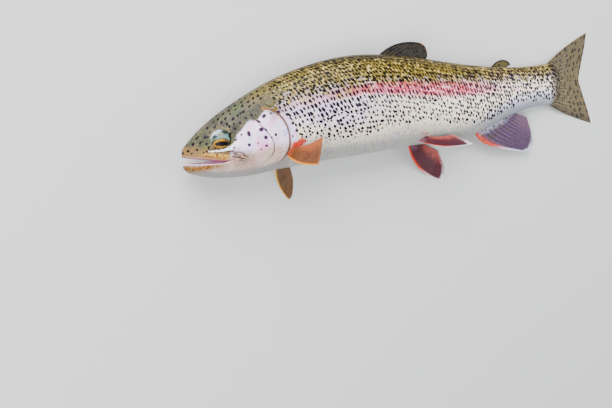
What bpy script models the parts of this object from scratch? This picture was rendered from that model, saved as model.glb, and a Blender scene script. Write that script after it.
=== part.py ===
"""Rainbow trout, life size, lying on its right side with the left flank up.

Body coordinates are in standard lengths: along the spine from the snout, up towards the back and
out towards the left flank. place() turns them into metres: the head points to -X, the back to +Y and
the left flank to +Z. The body is one lofted shape with an open mouth, parted by thin cuts.
"""

import math

import bmesh
import bpy
import numpy as np

# Driving dimensions
STANDARD_LENGTH = 0.360  # metres, snout to the root of the tail fin
GAP = 0.0003  # metres between neighbouring pieces
SOLE_DEPTH = 0.0004  # metres of the lowest bulges that rest as flats on the floor

# The body's form at its named stations, in standard lengths.
# along, back, belly, half width, height of the widest line (the mouth line, on the snout)
STATIONS = {
    "snout": (0.000, 0.0060, -0.0400, 0.0140, -0.0070),
    "nostril": (0.045, 0.0345, -0.0670, 0.0315, -0.0245),
    "eye": (0.088, 0.0558, -0.0808, 0.0412, -0.0395),
    "cheek": (0.135, 0.0740, -0.0898, 0.0492, -0.0370),
    "gill_cover": (0.200, 0.0955, -0.0940, 0.0558, -0.0210),
    "shoulder": (0.280, 0.1145, -0.0960, 0.0570, -0.0060),
    "deepest": (0.420, 0.1275, -0.1020, 0.0620, 0.0030),
    "dorsal_fin": (0.540, 0.1140, -0.0995, 0.0580, 0.0050),
    "vent": (0.720, 0.0800, -0.0995, 0.0425, 0.0000),
    "anal_fin_end": (0.860, 0.0620, -0.0615, 0.0265, 0.0010),
    "tail_stalk": (0.940, 0.0575, -0.0490, 0.0175, 0.0035),
    "tail_root": (1.000, 0.0585, -0.0505, 0.0120, 0.0040),
}
ALONG, BACK, BELLY, WIDTH, WIDEST = range(5)
TAIL_CAP = 0.035  # rounded fleshy end of the body, past the tail root
NOSE_RADIUS = 0.010

# The resting pose: the head droops, the back arches over the middle, the tail sinks to the floor
BEND_AT = (0.0, 0.25, 0.5, 0.75, 1.0)
BEND_DEGREES = (7.2, 2.1, -3.3, -3.9, -2.2)
CHEEK_LIFT = 0.0562  # height of the spine over the floor at the gill cover
MIDDLE_LIFT = 0.0602  # the same at the deepest station
TAIL_DROP = 0.0470

# The open mouth
JAW_CORNER = 0.104
GAPE = 0.0145
LIP_RADIUS = 0.0022
PALATE_RISE = 0.016
MOUTH_FLOOR_DROP = 0.008
THROAT_LENGTH = 0.024
JAW_LEAD = 0.004  # the lower jaw reaches this far past the snout

# Eyes
EYE_CENTRE = (0.0875, 0.0075, 0.0305)
EYE_AXIS = (-0.16, 0.24, 1.0)  # looks out, a little ahead and a little up
EYE_RADIUS = 0.0235
EYE_HALF_DEPTH = 0.0140

# Where the body is parted, as (along, up)
GILL_OPENING = (
    (0.204, 0.170), (0.177, 0.052), (0.193, 0.048), (0.209, 0.040), (0.222, 0.027), (0.231, 0.012),
    (0.236, -0.004), (0.236, -0.020), (0.230, -0.039), (0.221, -0.053), (0.206, -0.065),
    (0.187, -0.075), (0.168, -0.160),
)
JAW_HINGE = ((0.119, -0.0480), (0.136, -0.0640), (0.128, -0.160))  # behind the mouth's corner
CHEEK_EDGE = (
    (0.171, 0.036), (0.181, 0.020), (0.189, 0.002), (0.194, -0.016), (0.195, -0.034), (0.190, -0.056),
)
GILL_COVER_DEPTH = 0.034  # distance of the gill cover's inner face from the middle plane
TAIL_START = 0.728

# How finely the body is faceted
SNOUT_RINGS, HEAD_RINGS, TRUNK_RINGS, CAP_RINGS = 11, 10, 24, 4
UPPER_FACETS, LOWER_FACETS, MOUTH_FACETS, THROAT_RINGS = 12, 10, 4, 3

# Every fin is a fan between a root line and a tip line, each a curve through three places given as
# (along, up, out): leading ray, middle and trailing ray. bow holds the rays' middles.
FINS = {
    "dorsal_fin": {
        "root": ((0.479, 0.113, 0.0), (0.542, 0.102, 0.0), (0.606, 0.095, 0.0)),
        "bow": ((0.533, 0.142, -0.001), (0.581, 0.121, -0.001), (0.612, 0.101, 0.0)),
        "tip": ((0.601, 0.141, -0.003), (0.616, 0.129, -0.003), (0.617, 0.107, 0.0)),
        "material": "dark_fin",
    },
    "adipose_fin": {
        "root": ((0.803, 0.061, 0.0), (0.829, 0.059, 0.0), (0.852, 0.056, 0.0)),
        "bow": ((0.822, 0.077, 0.0), (0.849, 0.072, 0.0), (0.862, 0.064, 0.0)),
        "tip": ((0.842, 0.082, -0.001), (0.863, 0.078, -0.001), (0.871, 0.067, 0.0)),
        "material": "dark_fin",
        "root_thickness": 0.0030,
        "edge_thickness": 0.0011,
    },
    "anal_fin": {
        "root": ((0.744, -0.092, 0.0), (0.812, -0.072, 0.0), (0.866, -0.053, 0.0)),
        "bow": ((0.789, -0.131, -0.001), (0.866, -0.106, 0.0), (0.892, -0.063, 0.0)),
        "tip": ((0.904, -0.162, -0.003), (0.931, -0.143, -0.002), (0.916, -0.073, 0.0)),
        "material": "violet_fin",
    },
    "pelvic_fin_left": {
        "root": ((0.551, -0.085, 0.0220), (0.556, -0.080, 0.0240), (0.563, -0.075, 0.0255)),
        "bow": ((0.614, -0.109, 0.0440), (0.608, -0.097, 0.0440), (0.597, -0.084, 0.0415)),
        "tip": ((0.701, -0.115, 0.0440), (0.676, -0.101, 0.0440), (0.644, -0.084, 0.0410)),
        "material": "violet_fin",
    },
    "pelvic_fin_right": {
        "root": ((0.553, -0.088, -0.0180), (0.564, -0.089, -0.0180), (0.574, -0.089, -0.0170)),
        "bow": ((0.592, -0.161, -0.0440), (0.620, -0.146, -0.0440), (0.623, -0.110, -0.0400)),
        "tip": ((0.669, -0.212, -0.0530), (0.677, -0.181, -0.0520), (0.660, -0.128, -0.0465)),
        "material": "violet_fin",
    },
    "pectoral_fin_left": {
        "root": ((0.222, -0.060, 0.0370), (0.225, -0.054, 0.0400), (0.229, -0.047, 0.0430)),
        "bow": ((0.232, -0.081, 0.0800), (0.252, -0.067, 0.0800), (0.264, -0.048, 0.0720)),
        "tip": ((0.266, -0.089, 0.1250), (0.276, -0.068, 0.1220), (0.294, -0.034, 0.1050)),
        "material": "amber_fin",
    },
    "pectoral_fin_right": {
        "root": ((0.222, -0.060, -0.0370), (0.228, -0.060, -0.0390), (0.236, -0.062, -0.0410)),
        "bow": ((0.206, -0.119, -0.0515), (0.224, -0.116, -0.0515), (0.244, -0.100, -0.0505)),
        "tip": ((0.224, -0.178, -0.0560), (0.237, -0.168, -0.0560), (0.247, -0.132, -0.0560)),
        "material": "amber_fin",
    },
}
FIN_ROOT_THICKNESS = 0.0022  # metres
FIN_EDGE_THICKNESS = 0.0006
FIN_RAYS, FIN_STEPS = 9, 6

# Tail fin, in standard lengths
TAIL_FIN_LOBE = 0.168
TAIL_FIN_FORK = 0.118
TAIL_FIN_SPREAD = 30.0  # degrees that its edge rays stand from the middle one
TAIL_FIN_ROOT = 0.985
TAIL_FIN_SINK = 0.011  # from the middle plane down to the floor

COLOURS = {  # name: colour, roughness
    "olive_back": ((0.26, 0.25, 0.10), 0.35),
    "silver_cheek": ((0.78, 0.68, 0.72), 0.30),
    "speckled_flank": ((0.62, 0.58, 0.48), 0.35),
    "pale_jaw": ((0.72, 0.62, 0.42), 0.35),
    "gold_eye": ((0.45, 0.30, 0.06), 0.10),
    "pink_tongue": ((0.72, 0.42, 0.46), 0.35),
    "dark_fin": ((0.20, 0.18, 0.08), 0.40),
    "violet_fin": ((0.42, 0.28, 0.30), 0.40),
    "amber_fin": ((0.62, 0.34, 0.14), 0.40),
}


def smooth_step(share):
    share = np.clip(share, 0.0, 1.0)
    return share * share * (3.0 - 2.0 * share)


def curve_through(places, values, at):
    """A smooth curve through the values, by cubic pieces with finite-difference slopes."""
    places, values, at = (np.asarray(x, float) for x in (places, values, at))
    steps = np.diff(places)
    rises = np.diff(values) / steps
    slopes = np.empty_like(values)
    slopes[1:-1] = (rises[:-1] * steps[1:] + rises[1:] * steps[:-1]) / (steps[1:] + steps[:-1])
    slopes[0] = 1.5 * rises[0] - 0.5 * slopes[1]
    slopes[-1] = 1.5 * rises[-1] - 0.5 * slopes[-2]
    piece = np.clip(np.searchsorted(places, at) - 1, 0, len(steps) - 1)
    step = steps[piece]
    share = np.clip((at - places[piece]) / step, 0.0, 1.0)
    falling, rising = (1.0 - share) ** 2, share**2
    return (
        falling * (1.0 + 2.0 * share) * values[piece]
        + falling * share * step * slopes[piece]
        + rising * (3.0 - 2.0 * share) * values[piece + 1]
        - rising * (1.0 - share) * step * slopes[piece + 1]
    )


def form(column, along):
    table = np.array(list(STATIONS.values()))
    return curve_through(table[:, ALONG], table[:, column], along)


def lift(along):
    """Height of the spine over the floor, so that the right flank lies along it."""
    rise = (MIDDLE_LIFT - CHEEK_LIFT) * smooth_step((along - 0.20) / 0.22)
    return CHEEK_LIFT + rise - TAIL_DROP * smooth_step((along - 0.50) / 0.55)


def make_spine():
    """Fine steps along the spine: distance, x, y, z, and the angles that it turns by."""
    along = np.linspace(-0.1, 1.3, 1401)
    turn = np.radians(np.interp(along, BEND_AT, BEND_DEGREES))
    step = along[1] - along[0]
    x = np.concatenate([[0.0], np.cumsum(np.cos(turn[1:] / 2 + turn[:-1] / 2)) * step])
    y = np.concatenate([[0.0], np.cumsum(np.sin(turn[1:] / 2 + turn[:-1] / 2)) * step])
    z = lift(along)
    x -= np.interp(0.0, along, x)
    y -= np.interp(0.0, along, y)
    return along, x, y, z, turn, np.arctan(np.gradient(z, along))


SPINE = make_spine()


def place(along, up, out):
    """Body coordinates, in standard lengths, to metres."""
    along, up, out = np.broadcast_arrays(*(np.asarray(v, float) for v in (along, up, out)))
    x, y, z, turn, dip = (np.interp(along, SPINE[0], column) for column in SPINE[1:])
    upward = np.stack([-np.sin(turn), np.cos(turn), np.zeros_like(turn)], -1)
    forward = np.stack([np.cos(turn) * np.cos(dip), np.sin(turn) * np.cos(dip), np.sin(dip)], -1)
    outward = np.cross(forward, upward)
    centre = np.stack([x, y, z], -1)
    return STANDARD_LENGTH * (centre + upward * up[..., None] + outward * out[..., None])


def nose_rounding(along):
    return math.sqrt(1.0 - (1.0 - min(along / NOSE_RADIUS, 1.0)) ** 2)


def end_rounding(along):
    return math.sqrt(max(0.0, 1.0 - (max(along - 1.0, 0.0) / TAIL_CAP) ** 2))


def corner_share(along):
    """0 at the front of the mouth and 1 at its corner."""
    return min(along / JAW_CORNER, 1.0)


def gape(along):
    return GAPE * (1.0 - corner_share(along) ** 2)


def quarter(start, end, half_width, count, power):
    """Points (up, out) from the middle plane at start to the widest line at end."""
    turn = np.linspace(0.0, math.pi / 2, count + 1)
    up = end + (start - end) * np.cos(turn) ** (2.0 / power)
    return np.stack([up, half_width * np.sin(turn) ** (2.0 / power)], 1)


def side_power(along):
    """How boxy the section is: flat cheeks, a rounder body, then the flat tail stalk."""
    return 2.45 - 0.35 * smooth_step((along - 0.16) / 0.20) + 0.35 * smooth_step((along - 0.75) / 0.2)


def upper_section(along):
    rounding = nose_rounding(along) * end_rounding(along)
    pole = form(WIDEST, 0.0) if along < 0.5 else form(WIDEST, 1.0)
    edge = pole + (form(WIDEST, along) - pole) * rounding
    back = pole + (form(BACK, along) - pole) * rounding
    section = quarter(back, edge, form(WIDTH, along) * rounding, UPPER_FACETS, side_power(along))
    return np.insert(section, 0, along, axis=1)


def lower_section(along):
    rounding = nose_rounding(along) * end_rounding(along)
    pole = form(WIDEST, 0.0) - GAPE * 1.35 if along < 0.5 else form(WIDEST, 1.0)
    edge = pole + (form(WIDEST, along) - gape(along) - pole) * rounding
    belly = pole + (form(BELLY, along) - pole) * rounding
    keel = 1.75 + 0.3 * smooth_step((along - 0.05) / 0.2)
    section = quarter(belly, edge, form(WIDTH, along) * rounding, LOWER_FACETS, keel)
    lead = JAW_LEAD * (1.0 - corner_share(along))
    return np.insert(section, 0, along - lead, axis=1)[::-1]


def mouth_section(edge, side):
    """From a lip's outer edge over the lip to the middle of the palate (side 1) or floor (-1)."""
    along, height, half_width = edge
    share = corner_share(along)
    lip = min(LIP_RADIUS, 0.45 * gape(along))
    inset = min(2.0 * LIP_RADIUS, half_width * 0.5)
    inner = along + 2.0 * LIP_RADIUS * (1.0 - share)
    rise = PALATE_RISE if side > 0 else MOUTH_FLOOR_DROP
    turn = np.linspace(0.0, math.pi / 2, MOUTH_FACETS + 1)
    narrow = (half_width - inset) * (0.0 if along <= 0.0 else 1.0)
    wall = 0.0035 * share
    arch = np.stack(
        [
            np.full(len(turn), inner),
            height + side * (wall + rise * np.sin(turn) * min(1.0, along / 0.02)),
            narrow * np.cos(turn),
        ],
        1,
    )
    bead = [(along / 2 + inner / 2, height - side * lip, max(half_width - inset / 2, 0.0))]
    if along <= 0.0:
        bead = [(along / 2 + inner / 2, height - side * lip, 0.0)]
    return np.concatenate([[edge], bead, arch])


def throat_rings(last_section):
    """The mouth goes on into the head as a pocket that narrows to a point."""
    rings = [last_section]
    centre = last_section[0, 1]
    for i in range(1, THROAT_RINGS + 1):
        share = i / THROAT_RINGS
        ring = last_section.copy()
        ring[:, 0] += THROAT_LENGTH * share
        shrink = math.sqrt(1.0 - share**2)
        ring[:, 1] = centre + (ring[:, 1] - centre) * shrink
        ring[:, 2] *= 0.9 * shrink
        rings.append(ring)
    return np.array(rings)


def mouth_line():
    """Points (along, up) midway between the lips, from ahead of the snout to the mouth's corner."""
    places = np.linspace(0.0, JAW_CORNER, 9)
    line = [(s, float(form(WIDEST, s)) - gape(s) / 2) for s in places]
    return [(-0.05, line[0][1]), *line]


def body_rings():
    snout = JAW_CORNER * np.linspace(0.0, 1.0, SNOUT_RINGS + 1) ** 1.5
    head = np.linspace(JAW_CORNER, 0.26, HEAD_RINGS + 1)[1:]
    trunk = np.linspace(0.26, 1.0, TRUNK_RINGS + 1)[1:]
    cap = 1.0 + TAIL_CAP * np.sin(np.linspace(0.0, math.pi / 2, CAP_RINGS + 1)[1:])
    return snout, np.concatenate([head, trunk, cap])


def closed_data(mesh, name):
    """Turns a closed bmesh into mesh data with its faces pointing out."""
    mesh.normal_update()
    bmesh.ops.recalc_face_normals(mesh, faces=mesh.faces)
    if mesh.calc_volume(signed=True) < 0.0:
        bmesh.ops.reverse_faces(mesh, faces=mesh.faces)
    data = bpy.data.meshes.new(name)
    mesh.to_mesh(data)
    mesh.free()
    return data


def add_grid(mesh, grid, flip=False):
    """Skins a grid of body coordinates on the left side and its mirror image on the right."""
    for side in (1.0, -1.0):
        points = place(grid[..., 0], grid[..., 1], grid[..., 2] * side)
        points[..., 2] = np.maximum(points[..., 2], SOLE_DEPTH)
        verts = [[mesh.verts.new(p) for p in row] for row in points]
        for i in range(len(verts) - 1):
            for j in range(len(verts[0]) - 1):
                face = [verts[i][j], verts[i][j + 1], verts[i + 1][j + 1], verts[i + 1][j]]
                mesh.faces.new(face if (side > 0) != flip else face[::-1])


def body_mesh():
    """The whole body as one closed mesh, with the mouth open."""
    snout, rest = body_rings()
    mesh = bmesh.new()
    everywhere = np.concatenate([snout, rest])
    add_grid(mesh, np.array([upper_section(s) for s in everywhere]))
    add_grid(mesh, np.array([lower_section(s) for s in everywhere]))
    palate = np.array([mouth_section(upper_section(s)[-1], 1) for s in snout])
    floor = []
    for s in snout:
        edge = lower_section(s)[0]
        section = mouth_section(np.array([s, edge[1], edge[2]]), -1)
        section[:, 0] += edge[0] - s
        floor.append(section)
    floor = np.array(floor)
    add_grid(mesh, palate, flip=True)
    add_grid(mesh, floor, flip=True)
    add_grid(mesh, throat_rings(palate[-1][1:]), flip=True)
    add_grid(mesh, throat_rings(floor[-1][1:]), flip=True)
    bmesh.ops.remove_doubles(mesh, verts=mesh.verts, dist=1e-6)
    bmesh.ops.dissolve_degenerate(mesh, edges=mesh.edges, dist=1e-7)
    return closed_data(mesh, "body")


def material(name):
    found = bpy.data.materials.get(name)
    if found:
        return found
    colour, roughness = COLOURS[name]
    made = bpy.data.materials.new(name)
    made.use_nodes = True
    shader = made.node_tree.nodes["Principled BSDF"]
    shader.inputs["Base Color"].default_value = (*colour, 1.0)
    shader.inputs["Roughness"].default_value = roughness
    return made


def add_object(name, data, parent, colour=None):
    made = bpy.data.objects.new(name, data)
    bpy.context.scene.collection.objects.link(made)
    made.parent = parent
    if colour:
        made.data.materials.append(material(colour))
    else:
        made.hide_render = True
        made.display_type = "WIRE"
    return made


def boolean(target, cutter, operation):
    cut = target.modifiers.new(operation.lower() + "_" + cutter.name, "BOOLEAN")
    cut.operation = operation
    cut.object = cutter
    cut.solver = "EXACT"


def shifted(line, distance):
    """An open line of (along, up) moved sideways, to its left if distance is positive."""
    line = np.array(line, float)
    steps = np.diff(line, axis=0)
    steps /= np.linalg.norm(steps, axis=1)[:, None]
    normals = np.stack([-steps[:, 1], steps[:, 0]], 1)
    at_points = np.concatenate([normals[:1], normals[:-1] + normals[1:], normals[-1:]])
    at_points /= np.linalg.norm(at_points, axis=1)[:, None]
    return line + at_points * distance


def prism(name, outline, parent, low=-0.2, high=0.3):
    """A closed cutter over an outline of (along, up), from low to high across the body."""
    mesh = bmesh.new()
    rings = []
    for out in (low, high):
        rings.append([mesh.verts.new(place(s, h, out)) for s, h in outline])
    mesh.faces.new(rings[0])
    mesh.faces.new(rings[1][::-1])
    for i in range(len(outline)):
        j = (i + 1) % len(outline)
        mesh.faces.new([rings[0][i], rings[1][i], rings[1][j], rings[0][j]])
    bmesh.ops.triangulate(mesh, faces=mesh.faces)
    return add_object(name, closed_data(mesh, name), parent)


def eye_ball(name, side, grown, parent, colour=None):
    """A flattened ball that looks along the eye's axis, its poles in front and behind."""
    axis = np.array(EYE_AXIS) / np.linalg.norm(EYE_AXIS)
    across = np.cross((0.0, 1.0, 0.0), axis)
    across /= np.linalg.norm(across)
    upright = np.cross(axis, across)
    mesh = bmesh.new()
    bmesh.ops.create_uvsphere(mesh, u_segments=20, v_segments=10, radius=1.0)
    for vert in mesh.verts:
        x, y, z = vert.co
        flat = (across * x + upright * y) * (EYE_RADIUS + grown)
        along, up, out = np.array(EYE_CENTRE) + flat + axis * z * (EYE_HALF_DEPTH + grown)
        vert.co = place(along, up, out * side)
    return add_object(name, closed_data(mesh, name), parent, colour)


def part_body(root):
    """Head, lower jaw, gill covers, trunk and tail, cut from the whole body with a thin gap."""
    whole = body_mesh()
    half = GAP / STANDARD_LENGTH / 2
    far_front, far_back = (-0.2, 0.17), (1.25, 0.17)
    low_front, low_back = (-0.2, -0.17), (1.25, -0.17)
    gill_front = [tuple(p) for p in shifted(GILL_OPENING, -half)]
    gill_back = [tuple(p) for p in shifted(GILL_OPENING, half)]
    jaw_line = [*mouth_line(), *JAW_HINGE]
    jaw_over = [tuple(p) for p in shifted(jaw_line, half)]
    jaw_under = [tuple(p) for p in shifted(jaw_line, -half)]
    head_region = prism("head_region", [far_front, *gill_front, low_front], root)
    jaw_region = prism("jaw_region", [*jaw_under, low_front], root)
    above_jaw = prism("jaw_clearance", [*jaw_over, low_front], root)
    tail_region = prism(
        "tail_region", [(TAIL_START + half, 0.17), far_back, low_back, (TAIL_START + half, -0.17)], root
    )
    trunk_region = prism(
        "trunk_region",
        [*gill_back, (TAIL_START - half, -0.17), (TAIL_START - half, 0.17)],
        root,
    )

    head = add_object("head", whole.copy(), root, "olive_back")
    jaw = add_object("lower_jaw", whole.copy(), root, "pale_jaw")
    trunk = add_object("trunk", whole.copy(), root, "speckled_flank")
    tail = add_object("tail", whole.copy(), root, "speckled_flank")
    boolean(head, head_region, "INTERSECT")
    boolean(head, above_jaw, "DIFFERENCE")
    boolean(jaw, jaw_region, "INTERSECT")
    boolean(trunk, trunk_region, "INTERSECT")
    boolean(tail, tail_region, "INTERSECT")

    cover_front = [gill_front[1], *CHEEK_EDGE, gill_front[-2]]
    cover_outline = [*gill_front[1:-1], *CHEEK_EDGE[::-1]]
    grown_outline = [*gill_back[1:-1], *[tuple(p) for p in shifted(cover_front, -2 * half)][::-1]]
    for side, sign in (("left", 1.0), ("right", -1.0)):
        cover = add_object("gill_cover_" + side, whole.copy(), root, "silver_cheek")
        near, far = GILL_COVER_DEPTH * sign, 0.12 * sign
        region = prism(
            "cover_region_" + side, cover_outline, root, min(near, far), max(near, far)
        )
        near -= 2 * half * sign
        clearance = prism(
            "cover_clearance_" + side, grown_outline, root, min(near, far), max(near, far)
        )
        boolean(cover, region, "INTERSECT")
        boolean(head, clearance, "DIFFERENCE")
    return whole, head


def add_eyes(root, head):
    for side, sign in (("left", 1.0), ("right", -1.0)):
        eye_ball("eye_" + side, sign, 0.0, root, "gold_eye")
        socket = eye_ball("socket_" + side, sign, 1.3 * GAP / STANDARD_LENGTH, root)
        boolean(head, socket, "DIFFERENCE")


def add_tongue(root):
    """A low tongue that lies along the floor of the mouth."""
    mesh = bmesh.new()
    bmesh.ops.create_uvsphere(mesh, u_segments=12, v_segments=8, radius=1.0)
    middle, length, half_width, height = 0.064, 0.032, 0.0125, 0.0050
    for vert in mesh.verts:
        x, y, z = vert.co
        along = middle + length * x
        floor = form(WIDEST, along) - gape(along) - MOUTH_FLOOR_DROP
        vert.co = place(along, floor + 0.0085 + height * z, half_width * y * (1.0 + 0.25 * x))
    return add_object("tongue", closed_data(mesh, "tongue"), root, "pink_tongue")


def blend_three(three, share):
    """A curve through three values, at share 0, 0.5 and 1."""
    first, middle, last = (np.asarray(v, float) for v in three)
    share = np.asarray(share, float)[..., None]
    control = 2.0 * middle - 0.5 * (first + last)
    return (1 - share) ** 2 * first + 2 * share * (1 - share) * control + share**2 * last


def fan_fin(fin):
    """Grid of body coordinates, rays by steps along them, of a fin given by its three lines."""
    across = np.linspace(0.0, 1.0, FIN_RAYS + 1)
    root, bow, tip = (blend_three(fin[key], across) for key in ("root", "bow", "tip"))
    rays = []
    for ray in range(FIN_RAYS + 1):
        rays.append(blend_three((root[ray], bow[ray], tip[ray]), np.linspace(0, 1, FIN_STEPS + 1)))
    return np.array(rays)


def tail_fin_grid():
    """The forked tail fin: rays that fan from the tail stalk, longest at the lobes."""
    rays = []
    for share in np.linspace(-1.0, 1.0, 2 * FIN_RAYS + 1):
        angle = math.radians(TAIL_FIN_SPREAD) * share
        start = (TAIL_FIN_ROOT, 0.004 + 0.050 * share)
        length = TAIL_FIN_FORK + (TAIL_FIN_LOBE - TAIL_FIN_FORK) * abs(share) ** 1.4
        length *= 1.0 + (1.0 - TAIL_FIN_ROOT)
        ray = []
        for step in np.linspace(0.0, 1.0, FIN_STEPS + 1):
            reach = length * step
            bend = angle * (1.0 - 0.15 * step)
            along, up = start[0] + reach * math.cos(bend), start[1] + reach * math.sin(bend)
            ray.append((along, up, -TAIL_FIN_SINK * float(smooth_step(step * 1.5))))
        rays.append(ray)
    return np.array(rays)


def fin_solid(name, grid, colour, root_thickness, edge_thickness, parent, keep_out):
    """Gives a fin's sheet its thickness, thick at the root and thin at the edge."""
    sheet = place(grid[..., 0], grid[..., 1], grid[..., 2])
    normal = np.cross(np.gradient(sheet, axis=0), np.gradient(sheet, axis=1))
    normal /= np.linalg.norm(normal, axis=2)[..., None] * np.sign(normal[..., 2].mean())
    steps = np.linspace(0.0, 1.0, grid.shape[1])
    half = (root_thickness + (edge_thickness - root_thickness) * np.sqrt(steps)) / 2
    mesh = bmesh.new()
    faces = []
    for sign, lowest in ((1.0, SOLE_DEPTH + edge_thickness), (-1.0, SOLE_DEPTH)):
        points = sheet + normal * half[None, :, None] * sign
        points[..., 2] = np.maximum(points[..., 2], lowest)
        faces.append([[mesh.verts.new(p) for p in row] for row in points])
    top, bottom = faces
    rows, columns = sheet.shape[:2]
    for i in range(rows - 1):
        for j in range(columns - 1):
            mesh.faces.new([top[i][j], top[i + 1][j], top[i + 1][j + 1], top[i][j + 1]])
            mesh.faces.new([bottom[i][j], bottom[i][j + 1], bottom[i + 1][j + 1], bottom[i + 1][j]])
    rim = [(i, 0) for i in range(rows)] + [(rows - 1, j) for j in range(1, columns)]
    rim += [(i, columns - 1) for i in range(rows - 2, -1, -1)] + [(0, j) for j in range(columns - 2, 0, -1)]
    for (i, j), (k, m) in zip(rim, rim[1:] + rim[:1]):
        mesh.faces.new([top[i][j], bottom[i][j], bottom[k][m], top[k][m]])
    made = add_object(name, closed_data(mesh, name), parent, colour)
    boolean(made, keep_out, "DIFFERENCE")
    return made


def add_fins(root, whole):
    """All fins, their roots cut to the body's surface with a thin gap."""
    keep_out = add_object("body_clearance", whole.copy(), root)
    grow = keep_out.modifiers.new("grow", "DISPLACE")
    grow.strength = GAP
    grow.mid_level = 0.0
    for name, fin in FINS.items():
        root_thickness = fin.get("root_thickness", FIN_ROOT_THICKNESS)
        edge_thickness = fin.get("edge_thickness", FIN_EDGE_THICKNESS)
        fin_solid(name, fan_fin(fin), fin["material"], root_thickness, edge_thickness, root, keep_out)
    fin_solid(
        "tail_fin", tail_fin_grid(), "dark_fin", 0.0040, FIN_EDGE_THICKNESS, root, keep_out
    )


def centre_on_floor(root):
    """Puts the origin on the floor, under the middle of the whole fish."""
    bpy.context.view_layer.update()
    graph = bpy.context.evaluated_depsgraph_get()
    corners = []
    for part in bpy.context.scene.objects:
        if part.type == "MESH" and not part.hide_render:
            evaluated = part.evaluated_get(graph)
            corners += [evaluated.matrix_world @ v.co for v in evaluated.data.vertices]
    corners = np.array(corners)
    middle = (corners.min(axis=0) + corners.max(axis=0)) / 2
    root.location = (-middle[0], -middle[1], -corners[:, 2].min())


def main():
    for old in list(bpy.data.objects):
        bpy.data.objects.remove(old)
    root = bpy.data.objects.new("trout", None)
    bpy.context.scene.collection.objects.link(root)
    whole, head = part_body(root)
    add_eyes(root, head)
    add_tongue(root)
    add_fins(root, whole)
    for part in bpy.context.scene.objects:
        if part.type == "MESH" and not part.hide_render:
            part.data.shade_smooth()
            part.data.set_sharp_from_angle(angle=math.radians(40))
    centre_on_floor(root)


main()
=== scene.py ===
import math
from types import SimpleNamespace

import bmesh
import bpy
import numpy as np
from mathutils import Matrix, Vector


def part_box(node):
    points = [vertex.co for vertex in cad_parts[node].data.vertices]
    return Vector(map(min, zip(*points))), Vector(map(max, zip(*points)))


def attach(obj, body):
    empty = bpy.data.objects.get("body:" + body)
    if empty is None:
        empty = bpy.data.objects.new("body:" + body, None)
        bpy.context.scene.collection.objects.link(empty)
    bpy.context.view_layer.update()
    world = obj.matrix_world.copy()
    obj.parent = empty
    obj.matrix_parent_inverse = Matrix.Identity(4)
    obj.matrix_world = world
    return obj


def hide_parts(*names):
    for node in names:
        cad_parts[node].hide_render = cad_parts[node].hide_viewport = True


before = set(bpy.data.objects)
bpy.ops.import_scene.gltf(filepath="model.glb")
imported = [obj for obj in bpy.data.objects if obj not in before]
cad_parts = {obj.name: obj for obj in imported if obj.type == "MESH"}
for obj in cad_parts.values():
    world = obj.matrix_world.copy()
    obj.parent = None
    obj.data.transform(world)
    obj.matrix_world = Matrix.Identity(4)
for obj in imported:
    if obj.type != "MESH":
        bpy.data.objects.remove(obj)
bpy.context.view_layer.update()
bpy.ops.object.select_all(action="DESELECT")
print("frame loaded")

# The trout's form. Body places are (along, up, out) in lengths from snout to tail root:
# along the spine, up towards the back, out towards the left flank.
trout = {
    "length": 0.360,
    "along": (0.0, 0.045, 0.088, 0.135, 0.200, 0.280, 0.420, 0.540, 0.720, 0.860, 0.940, 1.0),
    "back": (0.0060, 0.0345, 0.0558, 0.0740, 0.0955, 0.1145, 0.1275, 0.1140, 0.0800, 0.0620, 0.0575, 0.0585),
    "belly": (
        -0.0400, -0.0670, -0.0808, -0.0898, -0.0940, -0.0960, -0.1020, -0.0995, -0.0995, -0.0615, -0.0490,
        -0.0505,
    ),
    "width": (0.0140, 0.0315, 0.0412, 0.0492, 0.0558, 0.0570, 0.0620, 0.0580, 0.0425, 0.0265, 0.0175, 0.0120),
    "widest": (
        -0.0070, -0.0245, -0.0395, -0.0370, -0.0210, -0.0060, 0.0030, 0.0050, 0.0, 0.0010, 0.0035, 0.0040,
    ),
    "tailCap": 0.035,
    "noseRadius": 0.010,
    "bendAt": (0.0, 0.25, 0.5, 0.75, 1.0),
    "bendDegrees": (7.2, 2.1, -3.3, -3.9, -2.2),
    "cheekLift": 0.0562,
    "middleLift": 0.0602,
    "rises": (0.20, 0.42),
    "tailDrop": 0.0470,
    "drops": (0.50, 1.05),
    "soleDepth": 0.0004,
}


def smoothStep(share):
    share = np.clip(share, 0.0, 1.0)
    return share * share * (3.0 - 2.0 * share)


def curveThrough(places, values, at):
    places, values, at = (np.asarray(x, float) for x in (places, values, at))
    steps = np.diff(places)
    rises = np.diff(values) / steps
    slopes = np.empty_like(values)
    slopes[1:-1] = (rises[:-1] * steps[1:] + rises[1:] * steps[:-1]) / (steps[1:] + steps[:-1])
    slopes[0] = 1.5 * rises[0] - 0.5 * slopes[1]
    slopes[-1] = 1.5 * rises[-1] - 0.5 * slopes[-2]
    piece = np.clip(np.searchsorted(places, at) - 1, 0, len(steps) - 1)
    step = steps[piece]
    share = np.clip((at - places[piece]) / step, 0.0, 1.0)
    falling, rising = (1.0 - share) ** 2, share**2
    return (
        falling * (1.0 + 2.0 * share) * values[piece]
        + falling * share * step * slopes[piece]
        + rising * (3.0 - 2.0 * share) * values[piece + 1]
        - rising * (1.0 - share) * step * slopes[piece + 1]
    )


def form(name, along):
    return curveThrough(trout["along"], trout[name], along)


def blend(points, at):
    # a smooth curve through (along, value) pairs
    along, values = zip(*points)
    return curveThrough(along, values, at)


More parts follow.
